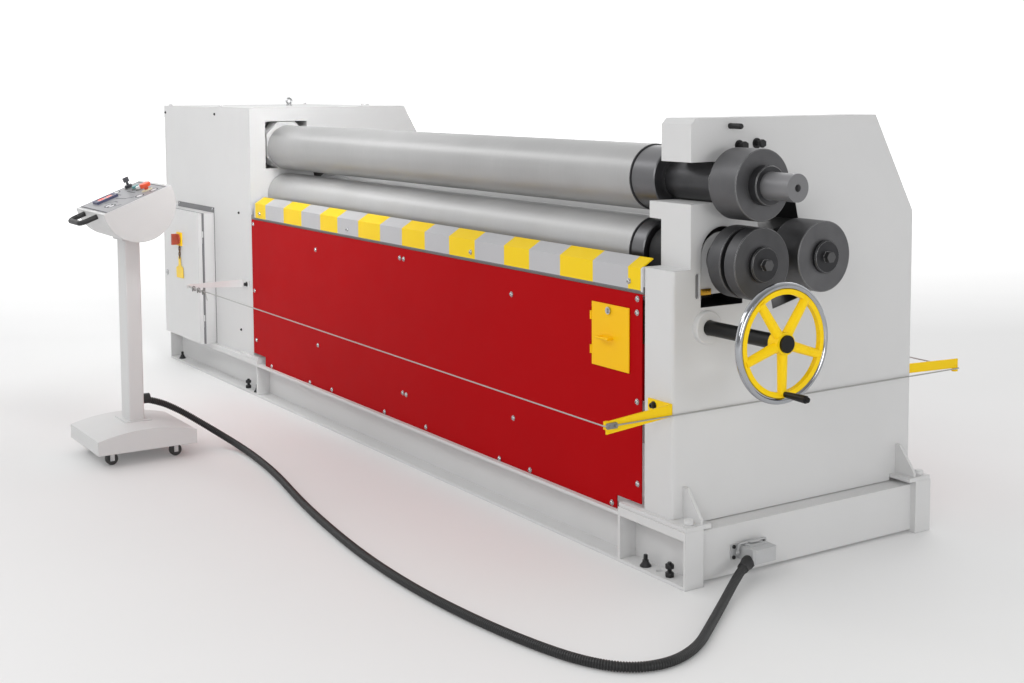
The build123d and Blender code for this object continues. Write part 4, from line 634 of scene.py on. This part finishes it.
def lathe(shape, place, outline, closed=False, steps=24):
    """Spin a half outline, in millimetres out from the axis and up, round the Z axis of place."""
    others = set(shape.verts)
    points = [shape.verts.new((out * MM, 0.0, rise * MM)) for out, rise in outline]
    loop = points + points[:1] if closed else points
    lines = [shape.edges.new(pair) for pair in zip(loop, loop[1:])]
    bmesh.ops.spin(shape, geom=points + lines, cent=(0, 0, 0), axis=(0, 0, 1), angle=2 * math.pi,
                   steps=steps, use_merge=True)
    made = [vert for vert in shape.verts if vert not in others]
    bmesh.ops.remove_doubles(shape, verts=made, dist=1e-6)
    made = [vert for vert in shape.verts if vert not in others]
    bmesh.ops.transform(shape, matrix=place, verts=made)


def rod(shape, place, radius, length, steps):
    """A plain round bar along the Z axis of place."""
    lathe(shape, place, ((0, 0), (radius, 0), (radius, length), (0, length)), steps=steps)


def ease(shape, verts, offset, segments, affect="EDGES"):
    """Bevel some corners, or else all edges that meet there, by so many millimetres."""
    edges = list({edge for vert in verts for edge in vert.link_edges})
    bmesh.ops.bevel(shape, geom=edges if affect == "EDGES" else verts, offset=offset * MM,
                    offset_type="OFFSET", segments=segments, profile=0.5, affect=affect, material=-1)


def block(shape, place, length, width, height, soft=0.0):
    """A block standing on place, with softened edges."""
    size = Matrix.Diagonal((length * MM, width * MM, height * MM, 1.0))
    verts = bmesh.ops.create_cube(shape, size=1.0, matrix=place @ raised(height / 2) @ size)["verts"]
    if soft:
        ease(shape, verts, soft, 2)


def hexagon(shape, place, across, height):
    """A hexagon nut or bolt head with its rims eased."""
    radius = across / 2 / math.cos(math.radians(30)) * MM
    verts = bmesh.ops.create_cone(shape, cap_ends=True, segments=6, radius1=radius, radius2=radius,
                                  depth=height * MM, matrix=place @ raised(height / 2))["verts"]
    ease(shape, verts, across / 20, 1)


# %% [markdown]
# ## Screws and bolts
# The red panel and the guard hang on button-head screws with thin washers. They catch the light as small
# bright dots, so their heads are domed and have a socket.

# %% Panel screws
def button_screw(shape, place, radius):
    """A domed head with a socket, on a washer."""
    rod(shape, place, radius * 1.25, 1.2, steps=20)
    dome = ((0, 1.2), (radius, 1.2), (radius * 0.96, 3.0), (radius * 0.8, 5.0), (radius * 0.5, 6.2),
            (radius * 0.4, 6.2), (radius * 0.34, 3.4), (0, 3.4))
    lathe(shape, place, dome, steps=12)


FRONT = (0, -1, 0)
BACK = (0, 1, 0)
SCREW_HEAD = 7.0
SMALL_HEAD = 5.0
PANEL_SCREWS = (
    (-313, 706), (396, 743), (425, 742), (1135, 700), (1780, 726), (-949, 465), (-937, 247), (-304, 319),
    (407, 252), (433, 250), (1143, 303), (1781, 474), (1784, 240), (-775, 156), (-387, 153), (-182, 159),
    (264, 155), (576, 160), (1059, 153), (1238, 156), (1665, 157), (-949, 760), (1781, 765),
)
GUARD_SCREWS = ((-874, 811), (-24, 811), (889, 811), (1743, 811))
HOUSING_SCREWS = ((-1120, 797), (-1120, 267), (-2055, 1235), (-2055, 200), (-1390, 1235))
FLANGE_SCREWS = ((-1890, 792), (-1446, 792))
REAR_SCREWS = [(x, z) for x in (-900, -450, 0, 450, 900, 1350) for z in (165, 560)]
SCREW_ROWS = ((PANEL_SCREWS, -467.0, FRONT, SCREW_HEAD), (GUARD_SCREWS, -468.0, FRONT, SCREW_HEAD),
              (FLANGE_SCREWS, -462.0, FRONT, SMALL_HEAD), (REAR_SCREWS, 471.0, BACK, SCREW_HEAD))
HOUSING_FACE = -464.0
shape = bmesh.new()
for places, face, normal, radius in SCREW_ROWS:
    for x, z in places:
        button_screw(shape, facing(at(x, face, z), normal), radius)
piece("panel_screws", shape, zinc)
shape = bmesh.new()
for x, z in HOUSING_SCREWS:
    button_screw(shape, facing(at(x, HOUSING_FACE, z), FRONT), SMALL_HEAD)
piece("housing_screws", shape, black_bolt)

# %% [markdown]
# Heavier bolts hold the frames. Some were painted with the machine, so they share its grey, and so does
# the flat boss round the handwheel's shaft.

# %% Painted bolts
UP = (0, 0, 1)
END = (1, 0, 0)
FOOT_TOP = 172.0
HOUSING_TOP = 1268.0
FRAME_FACE = 1931.0
shape = bmesh.new()
for x, y in ((1991, -455), (1996, 448), (1740, 448), (-1085, 448), (-1085, -448)):
    spot = facing(at(x, y, FOOT_TOP), UP)
    rod(shape, spot, 18.0, 3.0, steps=24)
    hexagon(shape, spot @ raised(3.0), 24.0, 14.0)
for x, y in ((-2047, 292), (-1374, 292), (-1326, 292), (-2047, -440), (-1374, -440)):
    spot = facing(at(x, y, HOUSING_TOP), UP)
    lathe(shape, spot, ((0, 0), (9, 0), (8, 5), (5, 7), (0, 7)), steps=16)
shaft_boss = ((21.5, 0), (47, 0), (46, 13), (43, 16), (21.5, 16))
lathe(shape, facing(at(FRAME_FACE, -347, 695), END), shaft_boss, closed=True, steps=48)
piece("painted_bolts", shape, grey_paint)

# %% [markdown]
# The black bolts came after painting. They hold the trip-wire arms and the plug's base. Two larger ones
# sit above the throat, beside a plain parking pin.

# %% Black bolts
PLUG_FACE = 1996.0
ARM_BOLTS = ((1857, -469, 479, FRONT), (-1035, -469, 484, FRONT), (1857, 476, 482, BACK),
             (-1035, 476, 484, BACK))
socket_head = ((0, 0), (7.5, 0), (7.5, 9), (6.5, 10), (4, 10), (4, 5), (0, 5))
plug_screw = ((0, 0), (5.5, 0), (5.5, 3), (4.5, 4), (2.5, 4), (2.5, 2), (0, 2))
shape = bmesh.new()
for x, y, z, normal in ARM_BOLTS:
    spot = facing(at(x, y, z), normal)
    rod(shape, spot, 11.0, 2.0, steps=24)
    lathe(shape, spot @ raised(2.0), socket_head, steps=20)
for y, z in ((-232, 1191), (-167, 1195)):
    spot = facing(at(FRAME_FACE, y, z), END)
    lathe(shape, spot, ((0, 0), (15, 0), (15, 3), (8, 3), (8, 18), (0, 18)))
    hexagon(shape, spot @ raised(17.0), 21.0, 12.0)
for y in (-297, -189):
    for z in (56, 86):
        lathe(shape, facing(at(PLUG_FACE, y, z), END), plug_screw, steps=16)
parking_pin = ((0, 0), (8, 0), (8, 45), (6, 48), (0, 48))
lathe(shape, facing(at(FRAME_FACE, -265, 1245), END), parking_pin)
piece("black_bolts", shape, black_bolt)

# %% [markdown]
# A bail locks the plug to its base. It is bent from round bar: a cross bar over the hood, two arms down
# to pivots on the base, and a tab for the thumb. A black nut holds the conduit in the hood.

# %% Plug bail
BAIL_BAR = 2.6
BAIL_SIDES = (-194.0, -292.0)
shape = bmesh.new()
rod(shape, facing(at(2013, BAIL_SIDES[0], 97), FRONT), BAIL_BAR, BAIL_SIDES[0] - BAIL_SIDES[1], steps=12)
for y in BAIL_SIDES:
    arm = at(2013, y, 97) - at(2007, y, 72)
    rod(shape, facing(at(2007, y, 72), arm), BAIL_BAR, arm.length / MM, steps=12)
    rod(shape, facing(at(2007, y + 3, 72), FRONT), 6.0, 6.0, steps=16)
block(shape, facing(at(2019, -243, 98), UP), 16.0, 34.0, 3.0, soft=0.8)
piece("plug_bail", shape, die_cast)
shape = bmesh.new()
way = at(*CONDUIT_POINTS[1]) - at(*CONDUIT_POINTS[0])
nut = ((17.7, 7), (18.8, 7), (18.8, 20), (17.4, 22), (16.4, 24), (15.6, 47), (13.0, 49), (13.0, 21),
       (17.7, 21))
lathe(shape, facing(at(*CONDUIT_POINTS[0]), way), nut, closed=True, steps=32)
piece("conduit_nut", shape, conduit_nylon)

# %% [markdown]
# Levelling screws and fixing bolts stand on the lower flange of the base, in pairs at each frame. One
# kind has a flared nut, the other two plain nuts on a longer stud.

# %% Floor bolts
STUD = 6.5
THREAD = 2.0
FLANGE_TOP = 10.0


def stud(shape, place, height):
    """A threaded stud."""
    outline = [(0, 0)]
    turns = int(height / THREAD)
    for turn in range(turns):
        outline += [(STUD, turn * THREAD + 0.2), (STUD - 0.9, turn * THREAD + 1.2)]
    lathe(shape, place, outline + [(STUD - 1.5, turns * THREAD), (0, turns * THREAD)], steps=14)


shape = bmesh.new()
for y in (-461, 461):
    for x in (1813, -956, -1907):
        spot = facing(at(x, y, FLANGE_TOP), UP)
        lathe(shape, spot, ((0, 0), (16.5, 0), (16.5, 3), (9, 13), (9, 18), (0, 18)))
        stud(shape, spot, 35.0)
    for x in (1919, -1058):
        spot = facing(at(x, y, FLANGE_TOP), UP)
        hexagon(shape, spot, 23.0, 13.0)
        hexagon(shape, spot @ raised(24.0), 23.0, 12.0)
        stud(shape, spot, 42.0)
piece("floor_bolts", shape, black_bolt)

# %% [markdown]
# ## Trip wire fittings
# The wire runs from the left arm to the right one. At the left it loops through the arm and comes back on
# itself under three rope clips, with a short tail. Each clip is a saddle, a bent bolt and two nuts. At
# the right a small clamp holds it on the tip of the arm.

# %% Rope clips
QUARTER = math.radians(90)
WIRE_LEFT = at(-1078.65, -721.0, 490.0)
WIRE_RIGHT = at(1936.0, -692.0, 464.0)
wire_way = (WIRE_RIGHT - WIRE_LEFT).normalized()
across = Vector((0, 0, 1)).cross(wire_way).normalized()
wire_frame = Matrix((wire_way, across, wire_way.cross(across))).transposed().to_4x4()


def on_wire(distance, drop=0.0):
    """The wire's own frame, so many millimetres from its left end and below it."""
    return Matrix.Translation(WIRE_LEFT + wire_way * distance * MM) @ wire_frame @ raised(-drop)


def rope_clip(shape, place):
    """A wire rope clip: Z up through the rope, X along it."""
    block(shape, place @ raised(-9.0), 12.0, 15.0, 8.0, soft=1.0)
    for offset in (-5.0, 5.0):
        leg = place @ Matrix.Translation(at(0, offset, 0))
        rod(shape, leg @ raised(-15.0), 1.8, 17.0, steps=10)
        hexagon(shape, leg @ raised(-13.0), 6.5, 4.0)
    lathe(shape, place @ raised(2.0) @ Matrix.Rotation(QUARTER, 4, "Y"),
          ((3.4, -1.8), (6.8, -1.8), (6.8, 1.8), (3.4, 1.8)), closed=True, steps=16)


shape = bmesh.new()
for distance in (60.0, 118.0, 176.0):
    rope_clip(shape, on_wire(distance))
block(shape, facing(at(1931.0, -672.0, 464.0), END), 34.0, 16.0, 9.0, soft=2.0)
for y in (-682.0, -662.0):
    hexagon(shape, facing(at(1940.0, y, 464.0), END), 8.0, 5.0)
piece("rope_clips", shape, dull_zinc)

shape = bmesh.new()
rod(shape, on_wire(2.0, 4.6) @ Matrix.Rotation(QUARTER, 4, "Y"), 2.0, 196.0, steps=10)
rod(shape, on_wire(197.0, 5.2) @ Matrix.Rotation(math.radians(150), 4, "Y"), 1.7, 34.0, steps=10)
piece("wire_tail", shape, wire_rope)

# %% [markdown]
# ## Lower roll's pointer
# A brass pointer on the sliding block shows the plate thickness that the lower roll is set for. It moves
# with the block, half a millimetre clear of the frame.

# %% Brass pointer
POINTER_HEIGHT = 793.0
shape = bmesh.new()
block(shape, facing(at(1929.0, -348.0, POINTER_HEIGHT), END), 28.0, 14.0, 3.0, soft=0.4)
block(shape, facing(at(1932.0, -350.0, POINTER_HEIGHT), END), 36.0, 17.0, 3.0, soft=0.6)
pointer_screw = ((0, 0), (4.5, 0), (4.2, 2.0), (2.5, 3.0), (0, 3.0))
lathe(shape, facing(at(1935.0, -342.0, POINTER_HEIGHT), END), pointer_screw, steps=16)
piece("brass_pointer", shape, brass, body="lower_carriage")

# %% [markdown]
# ## Roll necks
# A polished seal ring, almost as wide as the roll, covers each neck between the roll and its bearing. It
# turns with the roll and mirrors its surroundings in long streaks.

# %% Seal rings
ROLL_FACE = 1642.0
RING_BORE = 62.0
RING_RADIUS = 93.0
RING_ROWS = (
    ("top_seal_ring", "top_roll_body", SHAFT_TOP, 103.0),
    ("lower_seal_ring", "lower_roll_body", SHAFT_LOWER, 56.0),
    ("rear_seal_ring", "rear_roll_body", SHAFT_REAR, 56.0),
)
for name, body, shaft, length in RING_ROWS:
    shape = bmesh.new()
    ring = ((RING_BORE, 0), (RING_RADIUS - 2, 0), (RING_RADIUS, 2), (RING_RADIUS, length - 3),
            (RING_RADIUS - 3, length), (RING_BORE, length))
    lathe(shape, facing(at(ROLL_FACE, *shaft), END), ring, closed=True, steps=96)
    piece(name, shape, neck_steel, body=body)

# %% [markdown]
# Behind the slots the machine is closed by thin dark plates, put there as painted shade so that the slots
# look dark inside. One is fixed under the sliding block and one hangs from it, so that no light shows
# through at any height.

# %% Dark shade plates behind the slots
SHADE_PLATE_THICKNESS = 3.0
SHADE_PLATE_ROWS = (
    ("fixed_shade_plate", "frame", 1800.0, 752.0, 190.0, 24.0),
    ("block_shade_plate", "lower_carriage", 1794.0, 776.0, 150.0, 20.0),
)
# dark plates put behind the slots as painted shade
for name, body, x, z, length, width in SHADE_PLATE_ROWS:
    shape = bmesh.new()
    block(shape, facing(at(x, -290.0, z), END), length, width, SHADE_PLATE_THICKNESS)
    piece(name, shape, black_nylon, body=body)

# %% [markdown]
# The guard stops 8 mm short of the right frame. A small painted plate on the frame closes that gap, so
# that no light shows through there either.

# %% Guard end plate
END_PLATE = ((-468, 785.5), (-464.4, 785.5), (-464.4, 799.6), (-428, 799.6), (-428, 856), (-460.5, 856),
             (-468, 851.5))
END_PLATE_PLACE = 1796.4
END_PLATE_WIDTH = 7.4


def thicken(shape, way):
    """Extrude a flat shape along a way, to make a plate of it."""
    grown = bmesh.ops.extrude_face_region(shape, geom=shape.faces[:])["geom"]
    moved = [part for part in grown if isinstance(part, bmesh.types.BMVert)]
    bmesh.ops.translate(shape, vec=way, verts=moved)


shape = bmesh.new()
shape.faces.new([shape.verts.new(at(END_PLATE_PLACE, y, z)) for y, z in END_PLATE])
thicken(shape, at(END_PLATE_WIDTH, 0, 0))
piece("guard_end_plate", shape, grey_paint)

# %% [markdown]
# ## Cabinet door
# A lock-out tag hangs on a short chain from the isolator. The links are ovals, each turned a quarter from
# the one before.

# %% Lock-out tag and chain
CHAIN_TOP = (-1676.0, -546.0, 601.0)
LINKS = 5
LINK_PITCH = 12.5
LINK_RADIUS = 5.4
LINK_BAR = 2.0
LINK_OVAL = Matrix.Diagonal((0.8, 1.75, 1.0, 1.0))
bar_angles = [math.radians(60 * corner) for corner in range(6)]
link_bar = [(LINK_RADIUS + LINK_BAR * math.cos(angle), LINK_BAR * math.sin(angle)) for angle in bar_angles]
shape = bmesh.new()
for number in range(LINKS):
    spot = Matrix.Translation(at(*CHAIN_TOP)) @ raised(-number * LINK_PITCH)
    turn = Matrix.Rotation(QUARTER * (number % 2), 4, "Z") @ Matrix.Rotation(QUARTER, 4, "X")
    lathe(shape, spot @ turn @ LINK_OVAL, link_bar, closed=True, steps=12)
piece("tag_chain", shape, chain_metal, body="cabinet_door_body")

TAG = ((-15, 0), (15, 0), (16, -42), (46, -50), (49, -101), (-44, -103), (-47, -54), (-15, -44))
TAG_PLACE = (-1683.0, -543.0, 549.0)
TAG_THICKNESS = 1.6
TAG_CORNER = 4.0
shape = bmesh.new()
corners = [shape.verts.new(at(*TAG_PLACE) + at(x, 0, z)) for x, z in TAG]
shape.faces.new(corners)
ease(shape, corners, TAG_CORNER, 3, affect="VERTICES")
thicken(shape, at(0, -TAG_THICKNESS, 0))
piece("lockout_tag", shape, yellow_plastic, body="cabinet_door_body")

# %% [markdown]
# ## Control desk
# The desk's top is tilted towards the operator. A matrix with the plate's own axes lets every control and
# mark be placed as on a flat drawing: across, up the slope, and out of the plate.

# %% Desk frame and collars
TILT = math.radians(21.1)
HEAD_TOP = (-286.0, -1254.0, 957.03)
PLATE_THICKNESS = 1.0
slope = Matrix((Vector((1, 0, 0)), Vector((0, math.cos(TILT), math.sin(TILT))),
                Vector((0, -math.sin(TILT), math.cos(TILT))))).transposed().to_4x4()
desk = Matrix.Translation(at(*HEAD_TOP)) @ slope @ raised(PLATE_THICKNESS)


def on_desk(x, y, height=0.0):
    """A place on the control plate, in its own axes."""
    return desk @ Matrix.Translation(at(x, y, height))


KEY, START, STOP, EMERGENCY, DISPLAY = (-106, 64), (-34, 68), (4, 70), (76, 72), (-78, -42)
shape = bmesh.new()
button_bezel = ((13.8, 0), (17.0, 0), (17.0, 3.0), (15.6, 5.0), (13.8, 5.0))
for spot in (START, STOP):
    lathe(shape, on_desk(*spot), button_bezel, closed=True, steps=28)
key_bezel = ((14.6, 0), (18.0, 0), (18.0, 2.0), (14.6, 3.0))
lathe(shape, on_desk(*KEY), key_bezel, closed=True, steps=28)
piece("button_bezels", shape, dull_zinc)
shape = bmesh.new()
collar = ((8.8, 0), (21.0, 0), (20.0, 2.0), (14.0, 4.5), (8.8, 4.5))
lathe(shape, on_desk(*EMERGENCY), collar, closed=True, steps=32)
piece("emergency_collar", shape, pale_plastic)

# %% [markdown]
# The display shows the roll position in red figures. Seven-segment figures are bars on a tinted window.

# %% Display figures
SEGMENTS = {"0": "abcdef", "1": "bc", "2": "abged", "5": "afgcd", "8": "abcdefg"}
BARS = {"a": (0, 5, 6, 1.4), "g": (0, 0, 6, 1.4), "d": (0, -5, 6, 1.4), "f": (-3.6, 2.5, 1.4, 4),
        "b": (3.6, 2.5, 1.4, 4), "e": (-3.6, -2.5, 1.4, 4), "c": (3.6, -2.5, 1.4, 4)}
TALL = 1.4
FIGURE_PITCH = 13.0
WINDOW = 7.0
WINDOW_THICKNESS = 0.4
shape = bmesh.new()
block(shape, on_desk(*DISPLAY, WINDOW), 45.6, 61.6, WINDOW_THICKNESS)
piece("display_screen", shape, display_window)
shape = bmesh.new()
for row, figures in ((14.0, "152"), (-14.0, "080")):
    for column, figure in enumerate(figures):
        for bar in SEGMENTS[figure]:
            x, y, width, height = BARS[bar]
            place = on_desk(DISPLAY[0] + FIGURE_PITCH * (column - 1) + x, DISPLAY[1] + row + y * TALL,
                            WINDOW + WINDOW_THICKNESS)
            block(shape, place, width, height * TALL, 0.3)
glow, glow_shader = plain("red_display_segments", "#FF5A4E", 0.4)
glow_shader.inputs["Emission Color"].default_value = linear("#FF4A3A")
glow_shader.inputs["Emission Strength"].default_value = 1.2
piece("display_figures", shape, glow)

# %% [markdown]
# Round and oval marks with fine lines between them are printed on the plate: simple signs for the rolls
# and their ways of moving, with no words, between a border line at the top and one at the bottom. Ink has
# almost no thickness, so the marks stand 0.15 mm proud.

# %% Printed marks
INK = 0.15
BORDER_LENGTH = 312.0
BORDER_PLACES = (116.0, -116.0)
MARK_RADIUS = 11.0
RIM = 5.0
MARKS = ((-131, 19, 1.5), (52, -74, 1.3), (80, -72, 1.3), (118, 27, 1.6), (122, 82, 1.4))
LINES = ((-110, 8, -40, 8), (-20, -66, 30, -40), (30, -40, 60, -40), (-20, -20, 60, -8), (60, -8, 96, 14),
         (100, -70, 130, -50), (-60, 40, 30, 40))
white_marks = bmesh.new()
dark_marks = bmesh.new()
for x, y, stretch in MARKS:
    oval = on_desk(x, y) @ Matrix.Diagonal((stretch, 1.0, 1.0, 1.0))
    rod(white_marks, oval, MARK_RADIUS, INK, steps=28)
    rim = ((MARK_RADIUS, 0), (MARK_RADIUS + RIM, 0), (MARK_RADIUS + RIM, INK), (MARK_RADIUS, INK))
    lathe(dark_marks, oval, rim, closed=True, steps=28)
for y in BORDER_PLACES:
    block(dark_marks, on_desk(0, y), BORDER_LENGTH, 5.0, INK)
for x0, y0, x1, y1 in LINES:
    middle = on_desk((x0 + x1) / 2, (y0 + y1) / 2)
    heading = Matrix.Rotation(math.atan2(y1 - y0, x1 - x0), 4, "Z")
    block(dark_marks, middle @ heading, math.hypot(x1 - x0, y1 - y0), 4.0, INK)
piece("white_marks", white_marks, white_print)
piece("dark_marks", dark_marks, dark_print)

# %% [markdown]
# ## Floor and light
# A pale floor gives the soft ground of a catalogue picture. The whole floor has a faint painted glow, and
# far behind the machine the glow grows with every metre, emission standing in for a lit studio cove, so
# that no horizon shows between it and the white wall.

# %% Floor
INTO_PICTURE = (-0.84, 0.54, 0.0)
FLOOR_SIZE = 60.0
FLOOR_DROP = 0.5
FLOOR_CLOUD = 900.0
shape = bmesh.new()
bmesh.ops.create_grid(shape, x_segments=1, y_segments=1, size=FLOOR_SIZE, matrix=raised(-FLOOR_DROP))
floor_mesh = bpy.data.meshes.new("floor")
shape.to_mesh(floor_mesh)
shape.free()
floor_paint, floor_shader = plain("pale_studio_floor", "#E0E0E0", 0.7)
floor_place = add(floor_paint, "TexCoord").outputs["Object"]
floor_cloud = add(floor_paint, "TexNoise", {"Scale": grain(FLOOR_CLOUD), "Detail": 3.0},
                  {"Vector": floor_place})
floor_tone = add(floor_paint, "Mix", {"data_type": "RGBA", 6: linear("#DEDEDE"), 7: linear("#E2E2E2")},
                 {0: floor_cloud})
far = add(floor_paint, "VectorMath", {"operation": "DOT_PRODUCT", 1: INTO_PICTURE}, {0: floor_place})
# painted glow: the floor emits a little light everywhere, and more far behind the machine
fade = add(floor_paint, "MapRange", {1: 2.0, 2: 9.0, 3: 0.08, 4: 0.75}, {0: far.outputs["Value"]})
reach(floor_paint, floor_shader, Base_Color=floor_tone.outputs[2], Emission_Strength=fade)
floor_shader.inputs["Emission Color"].default_value = linear("#FFFFFF")
floor_mesh.materials.append(floor_paint)
floor = show("floor", floor_mesh)
print("floor", 2 * FLOOR_SIZE, "m square")

# %% [markdown]
# The world is a white wall behind the machine that fades to grey behind the viewer. A wide lamp in front
# lights the machine, one at the left draws the long highlight along the rolls, and one behind lifts the
# top edges. Two more fill the near faces, and a small one with a grid lights the inside of the left
# frame.

# %% Light
world = bpy.data.worlds.new("studio")
bpy.context.scene.world = world
world.use_nodes = True
sky = world.node_tree.nodes["Background"]
sky.inputs["Color"].default_value = linear("#FFFFFF")
toward = add(world, "TexCoord").outputs["Generated"]
facing_wall = add(world, "VectorMath", {"operation": "DOT_PRODUCT", 1: INTO_PICTURE}, {0: toward})
wall = add(world, "MapRange", {1: -0.5, 2: 0.6, 3: 0.34, 4: 1.05}, {0: facing_wall.outputs["Value"]})
reach(world, sky, Strength=wall)


def lamp(name, place, target, width, height, power, spread=180.0):
    """A large soft lamp aimed at a point, with a grid in front where it spreads less than 180 degrees."""
    light = bpy.data.lights.new(name, "AREA")
    light.shape = "RECTANGLE"
    light.size = width
    light.size_y = height
    light.energy = power
    light.spread = math.radians(spread)
    show(name, light).matrix_world = facing(Vector(place), Vector(place) - Vector(target))
    print(name, width, "x", height, "m,", power, "W")


lamp("front_lamp", (0.5, -4.6, 4.5), (0.2, -0.2, 0.8), 7.0, 1.6, 88.0)
lamp("left_lamp", (-4.8, -2.4, 3.8), (-4.8, -1.8, 3.0), 4.4, 0.8, 38.0)
lamp("camera_lamp", (5.4, -5.2, 3.0), (-0.4, -1.0, 0.7), 2.5, 2.5, 64.0)
lamp("inner_lamp", (1.4, -1.0, 2.6), (-1.25, -0.3, 0.75), 0.8, 0.8, 6.0, spread=55.0)
lamp("end_lamp", (7.5, -0.3, 1.3), (1.9, 0.0, 0.2), 3.0, 1.6, 64.0)
lamp("back_lamp", (-2.5, 5.5, 5.0), (0.0, 0.0, 1.0), 6.0, 2.0, 70.0)
bpy.context.scene.view_settings.view_transform = "Standard"
